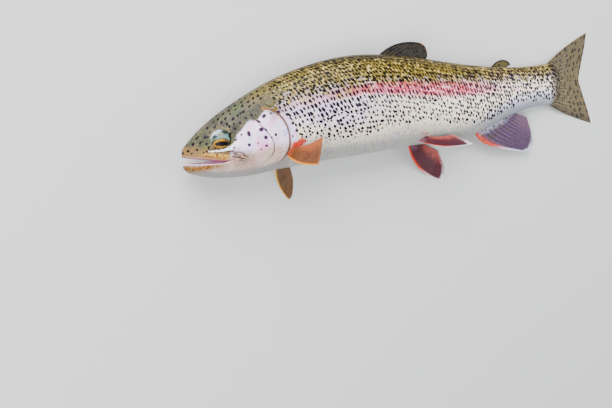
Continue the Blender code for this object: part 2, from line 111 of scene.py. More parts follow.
def makeSpine():
    along = np.linspace(-0.1, 1.3, 1401)
    turn = np.radians(np.interp(along, trout["bendAt"], trout["bendDegrees"]))
    step = along[1] - along[0]
    x = np.concatenate([[0.0], np.cumsum(np.cos(turn[1:] / 2 + turn[:-1] / 2)) * step])
    y = np.concatenate([[0.0], np.cumsum(np.sin(turn[1:] / 2 + turn[:-1] / 2)) * step])
    ranges = (trout["rises"], trout["drops"])
    risen, dropped = (smoothStep((along - start) / (end - start)) for start, end in ranges)
    z = trout["cheekLift"] + (trout["middleLift"] - trout["cheekLift"]) * risen - trout["tailDrop"] * dropped
    x -= np.interp(0.0, along, x)
    y -= np.interp(0.0, along, y)
    return along, x, y, z, turn, np.arctan(np.gradient(z, along))


spine = makeSpine()


def bendOnto(places):
    # body places to metres, before the shift into the frame
    along, up, out = places[..., 0], places[..., 1], places[..., 2]
    x, y, z, turn, dip = (np.interp(along, spine[0], column) for column in spine[1:])
    upward = np.stack([-np.sin(turn), np.cos(turn), np.zeros_like(turn)], -1)
    forward = np.stack([np.cos(turn) * np.cos(dip), np.sin(turn) * np.cos(dip), np.sin(dip)], -1)
    outward = np.cross(forward, upward)
    centre = np.stack([x, y, z], -1)
    return trout["length"] * (centre + upward * up[..., None] + outward * out[..., None])


eyes = {
    "centre": (0.0875, 0.0075, 0.0305),
    "axis": (-0.16, 0.24, 1.0),
    "radius": 0.0235,
    "halfDepth": 0.0140,
    "fill": 0.995,  # the ball is this share of its solid
}

# The eye's box in the frame ties body places to the frame's metres
eyeLow, eyeHigh = (np.array(corner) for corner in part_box("eye_left"))
frameShift = (eyeLow + eyeHigh) / 2 - bendOnto(np.array(eyes["centre"]))
frameShift[2] = -trout["soleDepth"]
print("frame shift", [round(float(v), 5) for v in frameShift])


def place(places):
    return bendOnto(np.asarray(places, float)) + frameShift


view = {
    "at": (-0.11561, 0.08366, 1.36865),  # in body lengths from the snout's tip on the floor
    "looks": (0.26927, -0.18169, -0.94577),
    "up": (0.21651, 0.96832, -0.12438),
    "lens": 35.0,
}


def addCamera():
    forward = Vector(view["looks"]).normalized()
    right = forward.cross(Vector(view["up"])).normalized()
    up = right.cross(forward)
    turn = Matrix((right, up, -forward)).transposed().to_4x4()
    at = Vector(view["at"]) * trout["length"] + Vector(frameShift)
    bpy.ops.object.camera_add()
    camera = bpy.context.object
    camera.matrix_world = Matrix.Translation(at) @ turn
    camera.data.lens = view["lens"]
    camera.data.sensor_width = 36.0
    camera.data.clip_start = 0.01
    bpy.context.scene.camera = camera


addCamera()
print("camera placed")

# Lines on the head and behind it, as (along, up)
lines = {
    "gillEdge": (
        (0.180, 0.0470), (0.1885, 0.0480), (0.201, 0.0455), (0.2155, 0.0345), (0.2285, 0.0140),
        (0.2335, -0.012), (0.230, -0.041), (0.2175, -0.061), (0.197, -0.075), (0.168, -0.083),
        (0.135, -0.083),
    ),
    "cheekEdge": (
        (0.165, 0.0300), (0.171, 0.0250), (0.177, 0.0140), (0.185, 0.0), (0.193, -0.018), (0.1945, -0.034),
        (0.1885, -0.051), (0.174, -0.062), (0.153, -0.066), (0.128, -0.064),
    ),
    "scaledFrom": (
        (0.186, 0.170), (0.186, 0.090), (0.196, 0.062), (0.213, 0.046), (0.231, 0.030), (0.243, 0.012),
        (0.250, -0.006), (0.253, -0.020), (0.250, -0.036), (0.236, -0.060), (0.224, -0.075), (0.215, -0.160),
    ),
    "jawBone": ((0.040, -0.0125), (0.052, -0.0170), (0.064, -0.0222), (0.078, -0.0282), (0.0915, -0.0330)),
    "lid": ((0.045, -0.0040), (0.062, -0.0070), (0.0845, -0.0090), (0.1025, -0.0062), (0.114, 0.0005)),
    "eyeSlip": (
        (0.0535, -0.0090), (0.0660, -0.0126), (0.0800, -0.0150), (0.0940, -0.0158), (0.1060, -0.0140),
        (0.120, -0.0080),
    ),
    "slipEdge": (
        (0.0600, -0.0140), (0.0700, -0.0168), (0.0820, -0.0186), (0.0940, -0.0206), (0.1060, -0.0222),
        (0.1250, -0.0250),
    ),
    "foldA": ((0.092, -0.0235), (0.105, -0.0250), (0.120, -0.0305), (0.135, -0.0390)),
    "foldB": ((0.093, -0.0315), (0.105, -0.0360), (0.117, -0.0430), (0.127, -0.0510)),
    "foldC": ((0.099, -0.0280), (0.111, -0.0315), (0.124, -0.0380), (0.137, -0.0470)),
}
nostrils = ((0.0430, 0.0110), (0.0480, 0.0135))


def softened(line):
    # more points on a smooth curve through the given ones
    line = np.array(line, float)
    count = len(line)
    if count < 4:  # a short line stays straight
        return line
    at = np.linspace(0, count - 1, 4 * (count - 1) + 1)
    return np.stack([curveThrough(np.arange(count), line[:, axis], at) for axis in (0, 1)], -1)


def nearLine(along, up, line):
    # distance to a line and, signed, the side: positive on the left of its direction
    best = np.full(np.shape(along), np.inf)
    side = np.zeros(np.shape(along))
    share = np.zeros(np.shape(along))
    line = softened(line)
    for index in range(len(line) - 1):
        start, step = line[index], line[index + 1] - line[index]
        at = ((along - start[0]) * step[0] + (up - start[1]) * step[1]) / (step @ step)
        held = np.clip(at, 0.0, 1.0)
        gapAlong, gapUp = along - start[0] - held * step[0], up - start[1] - held * step[1]
        distance = np.hypot(gapAlong, gapUp)
        nearer = distance < best
        best = np.where(nearer, distance, best)
        side = np.where(nearer, np.sign(step[0] * (up - start[1]) - step[1] * (along - start[0])), side)
        share = np.where(nearer, (index + held) / (len(line) - 1), share)
    return best, side, share


def hump(distance, size):
    return np.exp(-((distance / size) ** 2))


def fadeEnds(share, start, end):
    # 0 at both ends of a line; the numbers are how many times faster than the line's length it comes in
    return smoothStep(share * start) * smoothStep((1.0 - share) * end)


# Relief of the skin: rises and depths in millimetres from the smooth form, all else in body lengths
relief = {
    "socket": {"along": 0.0890, "radius": 0.0205, "soft": 0.0020, "depth": 3.2},
    "socketRim": {"radius": 0.0215, "breadth": 0.0020, "rise": 0.30},
    "lid": {"above": 0.0008, "soft": 0.0024, "cover": 0.30, "reach": 0.0275, "fade": 0.0060},
    "nostril": {"tall": 1.15, "radius": 0.0013, "depth": 1.0, "rimAt": 0.0026, "rim": 0.0009, "rise": 0.12},
    "jawBone": {
        "half": 0.0022, "wider": 0.0034, "soft": 0.0024, "rise": 0.60,
        "gap": 0.0008, "groove": 0.0010, "depth": 0.35,
    },
    "eyeSlip": {"half": 0.0030, "soft": 0.0016, "rise": 0.08},
    "cheekEdge": {"reach": 0.020, "rise": 0.40, "groove": 0.0013, "depth": 0.50},
    "gillEdge": {"reach": 0.025, "rise": 0.60, "soft": 0.0016, "behind": 0.030, "drop": 1.1},
    "fold": {"groove": 0.0014, "depth": 0.40, "bankAt": 0.0030, "bank": 0.0016, "rise": 0.20, "ends": 4.0},
    "gillRay": {"groove": 0.0012, "depth": 0.24, "bankAt": 0.0030, "bank": 0.0016, "rise": 0.0, "ends": 3.0},
    "gillRays": 5,
    "to": 0.30,  # there is none behind this place along the body
}


def eyeFront(along, up):
    # how far out the ball of the eye stands at a place on the side of the head
    axis = np.array(eyes["axis"]) / np.linalg.norm(eyes["axis"])
    ds, dh = along - eyes["centre"][0], up - eyes["centre"][1]
    flat, deep = eyes["radius"] ** 2, eyes["halfDepth"] ** 2
    lean = ds * axis[0] + dh * axis[1]
    a = (1 - axis[2] ** 2) / flat + axis[2] ** 2 / deep
    b = lean * axis[2] * (1 / deep - 1 / flat)
    c = (ds**2 + dh**2 - lean**2) / flat + lean**2 / deep - 1
    inside = b * b - a * c
    front = eyes["centre"][2] + (-b + np.sqrt(np.maximum(inside, 0.0))) / a
    return np.where(inside > 0, front, 0.0)


def eyeRelief(along, up, out):
    # the socket sinks round the ball, and the lid covers the ball's lower part
    socket, rim, lid = (relief[name] for name in ("socket", "socketRim", "lid"))
    ball = (eyeFront(along, up) - out) * trout["length"] * 1000
    fromEye = np.hypot(along - socket["along"], up - eyes["centre"][1])
    onLid = smoothStep((np.interp(along, *zip(*lines["lid"])) - up + lid["above"]) / lid["soft"])
    sunk = socket["depth"] * smoothStep((socket["radius"] - fromEye) / socket["soft"])
    raised = rim["rise"] * hump(fromEye - rim["radius"], rim["breadth"])
    cover = np.maximum(ball + lid["cover"], 0.0) * (ball > -2.0)  # not where the ball is far below the skin
    cover = cover * smoothStep((lid["reach"] - fromEye) / lid["fade"])
    return (raised - sunk) * (1 - onLid) + cover * onLid


def nostrilRelief(along, up):
    hole = relief["nostril"]
    rise = 0.0
    for nostril in nostrils:
        far = np.hypot(along - nostril[0], (up - nostril[1]) / hole["tall"])
        rise += hole["rise"] * hump(far - hole["rimAt"], hole["rim"])
        rise -= hole["depth"] * hump(far, hole["radius"])
    return rise


def jawBoneRelief(along, up):
    bone = relief["jawBone"]
    distance, _, share = nearLine(along, up, lines["jawBone"])
    half = bone["half"] + bone["wider"] * smoothStep(share * 1.6)
    groove = bone["depth"] * hump(distance - half - bone["gap"], bone["groove"]) * smoothStep(share * 4.0)
    return bone["rise"] * smoothStep((half - distance) / bone["soft"]) - groove


def slipRelief(along, up):
    slip = relief["eyeSlip"]
    distance, _, _ = nearLine(along, up, lines["eyeSlip"])
    return slip["rise"] * smoothStep((slip["half"] - distance) / slip["soft"])


def cheekRelief(along, up):
    edge = relief["cheekEdge"]
    distance, side, share = nearLine(along, up, lines["cheekEdge"])
    step = edge["rise"] * smoothStep(1.0 - distance / edge["reach"]) * (side < 0)
    return (step - edge["depth"] * hump(distance, edge["groove"])) * fadeEnds(share, 5.0, 4.0)


def gillRelief(along, up):
    edge = relief["gillEdge"]
    distance, side, share = nearLine(along, up, lines["gillEdge"])
    step = edge["rise"] * smoothStep(1.0 - distance / edge["reach"]) * (side < 0)
    behind = smoothStep(distance / edge["soft"]) * smoothStep(1.0 - distance / edge["behind"]) * (side > 0)
    return (step - edge["drop"] * behind) * fadeEnds(share, 7.0, 3.5)


def foldRelief(along, up, line, fold):
    distance, _, share = nearLine(along, up, line)
    bank = fold["rise"] * hump(distance - fold["bankAt"], fold["bank"])
    groove = fold["depth"] * hump(distance, fold["groove"])
    return (bank - groove) * fadeEnds(share, fold["ends"], fold["ends"])


def gillRay(row):
    # one of the rays that hold the gill's lower skin
    lift = 0.0052 * row
    return (0.112 + 0.004 * row, -0.0675 - lift), (0.150, -0.0715 - lift * 0.8), (0.194, -0.0700 - lift * 0.4)


def skinRelief(along, up, out):
    head = along < relief["to"]
    along, up = np.where(head, along, 0.0), np.where(head, up, 0.0)
    rise = eyeRelief(along, up, out)
    for part in (nostrilRelief, jawBoneRelief, slipRelief, cheekRelief, gillRelief):
        rise += part(along, up)
    for name in ("foldA", "foldB", "foldC", "slipEdge"):
        rise += foldRelief(along, up, lines[name], relief["fold"])
    for row in range(relief["gillRays"]):
        rise += foldRelief(along, up, gillRay(row), relief["gillRay"])
    return np.where(head, rise, 0.0)


# The mouth, in body lengths. It narrows from the snout's tip to its corner.
mouth = {
    "corner": 0.104,
    "gape": 0.0145,
    "tipDrop": 1.35,  # the lower jaw's tip lies this many gapes under the upper one's
    "lipRadius": 0.0015,
    "palateRise": 0.016,
    "floorDrop": 0.008,
    "wallRise": 0.0035,
    "archedFrom": 0.02,
    "throat": 0.024,
    "jawLead": 0.0055,
}


def awayFromLips(along, up, edge):
    # the relief dies out at the lips, where the skin turns into the mouth
    near = smoothStep((np.abs(up - edge) - 0.0015) / 0.0040)
    return np.where(along < mouth["corner"] + 0.004, near, 1.0)


def openAt(along):
    return mouth["gape"] * (1.0 - np.minimum(along / mouth["corner"], 1.0) ** 2)


def rounding(along):
    # 0 at the snout's tip and the tail's end, 1 between them
    nose = np.sqrt(1.0 - (1.0 - np.minimum(along / trout["noseRadius"], 1.0)) ** 2)
    beyond = np.maximum(along - 1.0, 0.0) / trout["tailCap"]
    return nose * np.sqrt(np.maximum(0.0, 1.0 - beyond**2))


# Each section is half an upper and half a lower oval. A power of 2 is an ellipse, less is slimmer.
def upperSections(along, count):
    along = along[:, None]
    turn = np.linspace(0.0, math.pi / 2, count + 1)[None, :]
    small = rounding(along)
    pole = np.where(along < 0.5, form("widest", 0.0), form("widest", 1.0))
    edge = pole + (form("widest", along) - pole) * small
    back = pole + (form("back", along) - pole) * small
    power = 2.45 - 0.35 * smoothStep((along - 0.16) / 0.20) + 0.35 * smoothStep((along - 0.75) / 0.2)
    up = edge + (back - edge) * np.cos(turn) ** (2.0 / power)
    out = form("width", along) * small * np.sin(turn) ** (2.0 / power)
    up[:, -1] = edge[:, 0]
    return np.stack([along + 0 * up, up, out], -1)


def lowerSections(along, count):
    along = along[:, None]
    turn = np.linspace(math.pi / 2, 0.0, count + 1)[None, :]
    small = rounding(along)
    jawTip = form("widest", 0.0) - mouth["gape"] * mouth["tipDrop"]
    pole = np.where(along < 0.5, jawTip, form("widest", 1.0))
    edge = pole + (form("widest", along) - openAt(along) - pole) * small
    belly = pole + (form("belly", along) - pole) * small
    power = 1.75 + 0.3 * smoothStep((along - 0.05) / 0.2)
    up = edge + (belly - edge) * np.cos(turn) ** (2.0 / power)
    out = form("width", along) * small * np.sin(turn) ** (2.0 / power)
    up[:, 0] = edge[:, 0]
    lead = mouth["jawLead"] * (1.0 - np.minimum(along / mouth["corner"], 1.0))
    return np.stack([along - lead + 0 * up, up, out], -1)


def outward(grid, upper):
    # unit normals of a grid of body places; its ridge and widest line keep their planes
    across = np.gradient(grid, axis=1)
    across[:, 0 if upper else -1] = (0.0, 0.0, 1.0 if upper else -1.0)
    across[:, -1 if upper else 0] = (0.0, -1.0, 0.0)
    lengthwise = np.gradient(grid, axis=0)
    normal = np.cross(across, lengthwise)
    normal /= np.maximum(np.linalg.norm(normal, axis=2), 1e-12)[..., None]
    if grid[0, 0, 0] < 0.01:
        normal[0] = (-1.0, 0.0, 0.0)
    normal[grid[:, 0, 0] > 1.0 + trout["tailCap"] * 0.9999] = (1.0, 0.0, 0.0)
    return normal


def arcFrom(grid, start):
    # metres round the body from the ridge of the back
    steps = np.linalg.norm(np.diff(grid[..., 1:], axis=1), axis=2) * trout["length"]
    return np.concatenate([np.zeros((len(grid), 1)), np.cumsum(steps, axis=1)], axis=1) + start[:, None]


# The masks that the skin and the scales share. Lines are (along, height or amount): marks are large over
# largeTo and end at spotsTo. Spots and patches are (along, up, half length, half height, lean).
markings = {
    "darkEdge": (
        (0.0, -0.020), (0.03, -0.028), (0.06, -0.034), (0.084, -0.039), (0.094, -0.030), (0.104, -0.0170),
        (0.113, -0.004), (0.1245, 0.0094), (0.1325, 0.0137), (0.1445, 0.0238), (0.1565, 0.0300),
        (0.171, 0.0270), (0.181, 0.0345), (0.1915, 0.0420), (0.2025, 0.0440), (0.215, 0.0480),
        (0.255, 0.0620), (0.325, 0.0650), (0.40, 0.0650), (0.50, 0.0575), (0.56, 0.0505), (0.614, 0.0460),
        (0.71, 0.0400), (0.85, 0.0330), (1.0, 0.0260),
    ),
    "stripeAt": (
        (0.20, 0.040), (0.30, 0.042), (0.37, 0.046), (0.43, 0.048), (0.50, 0.042), (0.56, 0.033),
        (0.63, 0.027), (0.70, 0.021), (0.76, 0.016), (0.86, 0.009), (1.0, 0.006),
    ),
    "stripeHalf": (
        (0.20, 0.010), (0.34, 0.0125), (0.43, 0.0150), (0.50, 0.0185), (0.56, 0.0205), (0.70, 0.0190),
        (0.78, 0.0140), (1.0, 0.010),
    ),
    "stripeDepth": (
        (0.20, 0.0), (0.26, 0.30), (0.31, 0.50), (0.36, 0.68), (0.41, 0.85), (0.47, 0.97), (0.58, 1.0),
        (0.68, 0.96), (0.75, 0.74), (0.82, 0.38), (0.95, 0.10), (1.0, 0.0),
    ),
    "largeTo": (
        (0.20, -0.002), (0.262, -0.004), (0.32, -0.003), (0.35, 0.004), (0.38, 0.011), (0.41, 0.016),
        (0.44, 0.019), (0.50, 0.013), (0.555, 0.008), (0.63, 0.002), (0.70, 0.004), (0.76, 0.016),
        (0.84, 0.026), (1.0, 0.024),
    ),
    "spotsTo": (
        (0.20, -0.026), (0.26, -0.034), (0.30, -0.042), (0.36, -0.055), (0.43, -0.050), (0.507, -0.042),
        (0.585, -0.044), (0.66, -0.058), (0.728, -0.066), (0.80, -0.052), (0.858, -0.036), (1.0, -0.034),
    ),
    "cheekSpots": (
        (0.1470, 0.0040, 0.0036, 0.0056, 0.0), (0.1745, 0.0065, 0.0044, 0.0040, 0.2),
        (0.1800, -0.0125, 0.0039, 0.0040, 0.0), (0.2030, -0.0120, 0.0031, 0.0032, 0.0),
        (0.1415, -0.0190, 0.0033, 0.0031, 0.0), (0.1770, -0.0300, 0.0028, 0.0028, 0.0),
        (0.1610, -0.0205, 0.0020, 0.0018, 0.0), (0.1640, -0.0350, 0.0019, 0.0020, 0.0),
        (0.1880, 0.0325, 0.0046, 0.0034, 0.6), (0.2035, 0.0350, 0.0022, 0.0019, 0.0),
        (0.1735, 0.0245, 0.0052, 0.0024, -0.6), (0.1840, 0.0035, 0.0040, 0.0020, -0.9),
        (0.1925, -0.0160, 0.0024, 0.0024, 0.0), (0.1170, -0.0015, 0.0026, 0.0024, 0.0),
        (0.1090, -0.0165, 0.0024, 0.0020, 0.0), (0.1310, 0.0060, 0.0022, 0.0020, 0.0),
        (0.2220, 0.0340, 0.0040, 0.0026, -0.5), (0.2385, 0.0250, 0.0032, 0.0028, 0.0),
        (0.2470, 0.0035, 0.0031, 0.0033, 0.0), (0.2520, -0.0140, 0.0033, 0.0034, 0.0),
        (0.2620, -0.0250, 0.0027, 0.0029, 0.0), (0.2440, 0.0150, 0.0022, 0.0024, 0.0),
        (0.2410, -0.0240, 0.0024, 0.0022, 0.0),
    ),
    "snoutSpots": (
        (0.0430, 0.0110, 0.0013, 0.0016, 0.0), (0.0480, 0.0135, 0.0010, 0.0013, 0.0),
        (0.0040, 0.0020, 0.0026, 0.0028, 0.0), (0.0155, 0.0030, 0.0034, 0.0032, 0.0),
        (0.0205, -0.0040, 0.0026, 0.0022, 0.0), (0.0335, 0.0005, 0.0028, 0.0032, 0.4),
        (0.0520, -0.0085, 0.0025, 0.0026, 0.0), (0.0560, 0.0070, 0.0034, 0.0026, 0.3),
        (0.0700, -0.0210, 0.0020, 0.0018, 0.0), (0.0870, -0.0120, 0.0026, 0.0014, 0.2),
        (0.0980, -0.0130, 0.0022, 0.0014, 0.3), (0.0630, 0.0200, 0.0030, 0.0024, 0.0),
        (0.0290, 0.0130, 0.0026, 0.0024, 0.0), (0.0400, 0.0230, 0.0026, 0.0024, 0.0),
        (0.1355, 0.0306, 0.0032, 0.0030, 0.0), (0.1220, 0.0215, 0.0030, 0.0028, 0.0),
        (0.1120, 0.0305, 0.0030, 0.0026, 0.0), (0.1505, 0.0375, 0.0030, 0.0026, 0.0),
        (0.1640, 0.0410, 0.0032, 0.0028, 0.0), (0.0990, 0.0400, 0.0028, 0.0026, 0.0),
        (0.1260, 0.0430, 0.0032, 0.0028, 0.0), (0.1430, 0.0500, 0.0030, 0.0028, 0.0),
        (0.0830, 0.0350, 0.0026, 0.0024, 0.0),
    ),
    "jawSpots": (
        (-0.0010, -0.0335, 0.0034, 0.0026, 0.0), (0.0120, -0.0385, 0.0026, 0.0020, 0.0),
        (0.0450, -0.0400, 0.0020, 0.0014, 0.0), (0.0700, -0.0440, 0.0018, 0.0014, 0.0),
        (0.0270, -0.0400, 0.0022, 0.0014, 0.0), (0.0850, -0.0480, 0.0015, 0.0013, 0.0),
        (0.0600, -0.0500, 0.0014, 0.0012, 0.0),
    ),
    "brownCheek": (0.1140, -0.0370, 0.0300, 0.0160, -0.58),
    "blush": (0.2535, -0.0430, 0.0240, 0.0095, 0.38),
    "vent": (0.575, -0.073, 0.026, 0.0100, 0.0),
}


def ovalFar(along, up, oval):
    # distance from the middle of a leaning oval, 1 on its edge
    centre, height, halfLength, halfHeight, lean = oval
    ds, dh = along - centre, up - height
    u = (ds * math.cos(lean) + dh * math.sin(lean)) / halfLength
    v = (dh * math.cos(lean) - ds * math.sin(lean)) / halfHeight
    return np.hypot(u, v)


def blots(along, up, spots, grown=1.0):
    # 1 in the middle of a spot, 0 at its edge and below 0 away from it
    ink = np.full(np.shape(along), -1.5)
    for spot in spots:
        ink = np.maximum(ink, 1.0 - ovalFar(along, up, spot) / grown)
    return ink


def zoneMasks(along, up):
    # how far over the back's dark edge, how deep in the pink stripe, how far over the lowest marks
    back = np.clip((up - blend(markings["darkEdge"], along)) * 100, -6, 6)
    far = np.abs(up - blend(markings["stripeAt"], along)) / blend(markings["stripeHalf"], along)
    stripe = (1.0 - smoothStep((far - 0.50) / 0.85)) * np.clip(blend(markings["stripeDepth"], along), 0, 1)
    low = np.clip((up - blend(markings["spotsTo"], along)) * 100, -3, 6)
    return back, stripe, low


def edgeMasks(along, up):
    # distance from the gill's rim and from the cheek's crease, and how bare of scales the skin is
    far, _, share = nearLine(along, up, lines["gillEdge"])
    rim = np.clip(far * 100, 0, 2) + 1 - fadeEnds(share, 8.0, 3.0)
    far, _, share = nearLine(along, up, lines["cheekEdge"])
    crease = np.clip(far * 100, 0, 2) + 1 - fadeEnds(share, 6.0, 3.0)
    far, side, _ = nearLine(along, up, lines["scaledFrom"])
    bare = np.where(along > 0.30, -3.0, np.clip(-far * side * 100, -3, 5))
    return rim, crease, bare


def faceMasks(along, up):
    # on the jaw's bone and on the white slip under the eye, and the distance from the nearest fold
    far, _, share = nearLine(along, up, lines["jawBone"])
    bone = np.clip((0.0018 + 0.0036 * smoothStep(share * 1.8) - far) * 100, -2, 1)
    far, _, share = nearLine(along, up, lines["eyeSlip"])
    slip = np.clip((0.0011 + 0.0052 * share**1.5 - far) * 100, -2, 1)
    folds = np.full(np.shape(along), np.inf)
    for name in ("foldA", "foldB", "foldC", "slipEdge", "lid"):
        far, _, share = nearLine(along, up, lines[name])
        folds = np.minimum(folds, far * 100 + 0.25 * (1 - fadeEnds(share, 4.0, 4.0)))
    return bone, slip, np.clip(folds, 0, 2)


def tintMasks(along, up):
    # ochre under the lower lip, brown behind the mouth, red behind the gills and at the vent
    gape = openAt(along)
    lipEdge = form("widest", along)
    below = (lipEdge - gape - up) * 100
    ochreAt = 0.70 * (1 - np.clip(along / 0.06, 0, 1)) + 0.35
    jaw = (up < lipEdge - 0.4 * gape) * hump(below - ochreAt, 1.05 - 5.0 * np.clip(along, 0, 0.09))
    jaw = jaw * (1.0 - smoothStep((along - 0.050) / 0.050))
    brown = hump(ovalFar(along, up, markings["brownCheek"]), 1.0)
    blush = 1.0 - ovalFar(along, up, markings["blush"])
    vent = 1.0 - ovalFar(along, up, markings["vent"])
    return jaw, brown, np.maximum(blush, vent * 0.14 - 0.10)


def lipMasks(along, up):
    # distance over the upper lip, the pale brow over the eye that carries a painted highlight, and the tail's
    # end
    lipEdge = form("widest", along)
    onLip = (along < 0.112) & (up > lipEdge - 0.3 * openAt(along))
    lip = np.where(onLip, np.clip((up - lipEdge) * 100, -1, 4), 4.0)
    fromEye = np.hypot(along - relief["socket"]["along"], up - eyes["centre"][1])
    brow = hump(fromEye - 0.0245, 0.0026) * smoothStep((up - 0.014) / 0.012)
    return lip, brow, smoothStep((along - 0.972) / 0.050)


def paintFields(places):
    # distances are in hundredths of the body's length, so that the material can draw crisp edges from them
    along, up = places[..., 0], places[..., 1]
    onHead = 1.0 - smoothStep((along - 0.185) / (0.030 + 0.045 * smoothStep((up - 0.04) / 0.02)))
    behind = smoothStep((along - 0.16) / 0.08)
    overBelly = up - form("belly", along) * (0.90 - 0.10 * behind)
    under = 1.0 - smoothStep(overBelly / (0.022 + 0.008 * behind))
    large = np.clip((up - blend(markings["largeTo"], along)) * 100, -3, 3)
    cheekInk = blots(along, up, markings["cheekSpots"], 1.18)
    headInk = [blots(along, up, markings[name]) for name in ("snoutSpots", "jawSpots")]
    nothing = 0.0 * along
    masks = {
        "zones": zoneMasks(along, up),
        "edges": edgeMasks(along, up),
        "face": faceMasks(along, up),
        "spots": (cheekInk, *headInk),
        "tints": tintMasks(along, up),
        "under": (under, onHead, nothing),
        "lip": lipMasks(along, up),
        "sizes": (large, nothing, smoothStep((along - 0.085) / 0.03)),
    }
    return {name: np.stack(three, -1) for name, three in masks.items()}


def finishMesh(name, points, faces, fields, merge=True):
    mesh = bpy.data.meshes.new(name)
    mesh.from_pydata(points.tolist(), [], faces)
    for key, values in fields.items():
        layer = mesh.attributes.new(key, "FLOAT_VECTOR", "POINT")
        layer.data.foreach_set("vector", values.astype(np.float32).ravel())
    if merge:
        work = bmesh.new()
        work.from_mesh(mesh)
        bmesh.ops.remove_doubles(work, verts=work.verts, dist=2e-6)
        bmesh.ops.dissolve_degenerate(work, edges=work.edges, dist=1e-7)
        bmesh.ops.recalc_face_normals(work, faces=work.faces)
        if work.calc_volume(signed=True) < 0:
            bmesh.ops.reverse_faces(work, faces=work.faces)
        work.to_mesh(mesh)
        work.free()
    mesh.shade_smooth()
    piece = bpy.data.objects.new(name, mesh)
    bpy.context.scene.collection.objects.link(piece)
    return piece


class GridPile:
    # grids of places gathered into one mesh, each with its masks
    def __init__(self):
        self.points, self.faces, self.fields, self.count = [], [], {}, 0

    def add(self, points, fields, flip=False):
        rows, columns = points.shape[:2]
        index = np.arange(rows * columns).reshape(rows, columns) + self.count
        quads = np.stack([index[:-1, :-1], index[:-1, 1:], index[1:, 1:], index[1:, :-1]], -1).reshape(-1, 4)
        self.faces += (quads[:, ::-1] if flip else quads).tolist()
        self.points.append(points.reshape(-1, 3))
        for key, values in fields.items():
            self.fields.setdefault(key, []).append(values.reshape(-1, 3))
        self.count += rows * columns

    def build(self, name):
        fields = {key: np.concatenate(parts) for key, parts in self.fields.items()}
        return finishMesh(name, np.concatenate(self.points), self.faces, fields)


skin = {
    "inset": 0.00030,  # metres that it lies inside the smooth form, under scales
    "headInset": 0.00005,  # and where it is bare
    "fineTo": 0.262,  # the rings are close together as far as the scales' first rows
    "headStep": 0.00052,
    "trunkStep": 0.0042,
    "noseRings": 12,
    "capRings": 12,
    "upperColumns": 96,
    "lowerColumns": 60,
    "lipSteps": 5,
    "mouthSteps": 14,
    "throatRings": 9,
    "floorGap": 0.00015,
}


def ringsBetween(start, end, step):
    count = int((end - start) * trout["length"] / step)
    return np.linspace(start, end, count + 1)[1:]


def skinRings():
    nose = trout["noseRadius"] * (1.0 - np.cos(np.linspace(0, math.pi / 2, skin["noseRings"] + 1)))
    lips = ringsBetween(nose[-1], mouth["corner"], skin["headStep"])
    cheeks = ringsBetween(mouth["corner"], skin["fineTo"], skin["headStep"])
    trunk = ringsBetween(skin["fineTo"], 1.0, skin["trunkStep"])
    cap = 1.0 + trout["tailCap"] * np.sin(np.linspace(0.0, math.pi / 2, skin["capRings"] + 1)[1:])
    return np.concatenate([nose, lips]), np.concatenate([cheeks, trunk, cap])


def insetAt(along, up):
    far, side, _ = nearLine(along, up, lines["scaledFrom"])
    share = np.where(along > 0.27, 1.0, smoothStep(far * side / 0.012))
    return (skin["headInset"] + (skin["inset"] - skin["headInset"]) * share) / trout["length"]


def settle(points, gap):
    # nothing sinks through the floor; the lowest bulges lie flat on it
    points[..., 2] = np.maximum(points[..., 2], gap)
    return points


def outerSkin(sections, upper):
    along, up = sections[..., 0], sections[..., 1]
    lipEdge = form("widest", along) - (0.0 if upper else 1.0) * openAt(along)
    bumps = skinRelief(*np.moveaxis(sections, -1, 0)) * awayFromLips(along, up, lipEdge)
    depth = bumps * 0.001 / trout["length"] - insetAt(along, up)
    return sections + outward(sections, upper) * depth[..., None]


def mouthGrid(edges, upper):
    # from the lip's outer edge round the lip, up the inner wall and to the middle of the palate or floor
    side = 1.0 if upper else -1.0
    along, height, half = (edges[:, i][:, None] for i in range(3))
    base = np.maximum(along, 0.0)
    share = np.minimum(base / mouth["corner"], 1.0)
    lip = np.minimum(mouth["lipRadius"], 0.45 * openAt(base))
    inset = np.minimum(2.0 * mouth["lipRadius"], half * 0.5)
    reach = 2.0 * mouth["lipRadius"] * (1.0 - share)
    turn = np.linspace(0.0, math.pi, skin["lipSteps"] + 1)[None, :]
    over = (1.0 - np.cos(turn)) / 2
    lipPart = np.stack([along + reach * over, height - side * lip * np.sin(turn), half - inset * over], -1)
    arch = np.linspace(0.0, math.pi / 2, skin["mouthSteps"] + 1)[None, 1:]
    rise = mouth["palateRise"] if upper else mouth["floorDrop"]
    wall = mouth["wallRise"] * share
    arched = height + side * (wall + rise * np.sin(arch) * np.minimum(1.0, base / mouth["archedFrom"]))
    inner = np.stack([along + reach + 0 * arch, arched, (half - inset) * np.cos(arch)], -1)
    first = np.stack([along + reach, height + side * wall, half - inset], -1)
    return np.concatenate([lipPart, first, inner], axis=1)


def throatGrid(last):
    # the mouth's last ring drawn in to a closed, rounded end
    rings = []
    centre = last[0, 1]
    for share in np.linspace(0.0, 1.0, skin["throatRings"] + 1):
        ring = last.copy()
        ring[:, 0] += mouth["throat"] * share
        shrink = math.sqrt(max(0.0, 1.0 - share**2))
        ring[:, 1] = centre + (ring[:, 1] - centre) * shrink
        ring[:, 2] *= (1.0 - 0.1 * share) * shrink
        rings.append(ring)
    return np.array(rings)


def skinFields(grid, arc, lining):
    fields = paintFields(grid)
    if lining:
        columns = np.arange(grid.shape[1])
        fields["under"][..., 2] = 1.0 if lining == "throat" else np.minimum(columns / skin["lipSteps"], 1.0)
        fields["sizes"][..., 1] = lining == "floor"
    fields["flankPlace"] = np.stack([grid[..., 0] * trout["length"], arc, 0.0 * arc], -1)
    fields["scaleTone"] = np.zeros(grid.shape) + (0.5, 0.0, 0.0)
    return fields


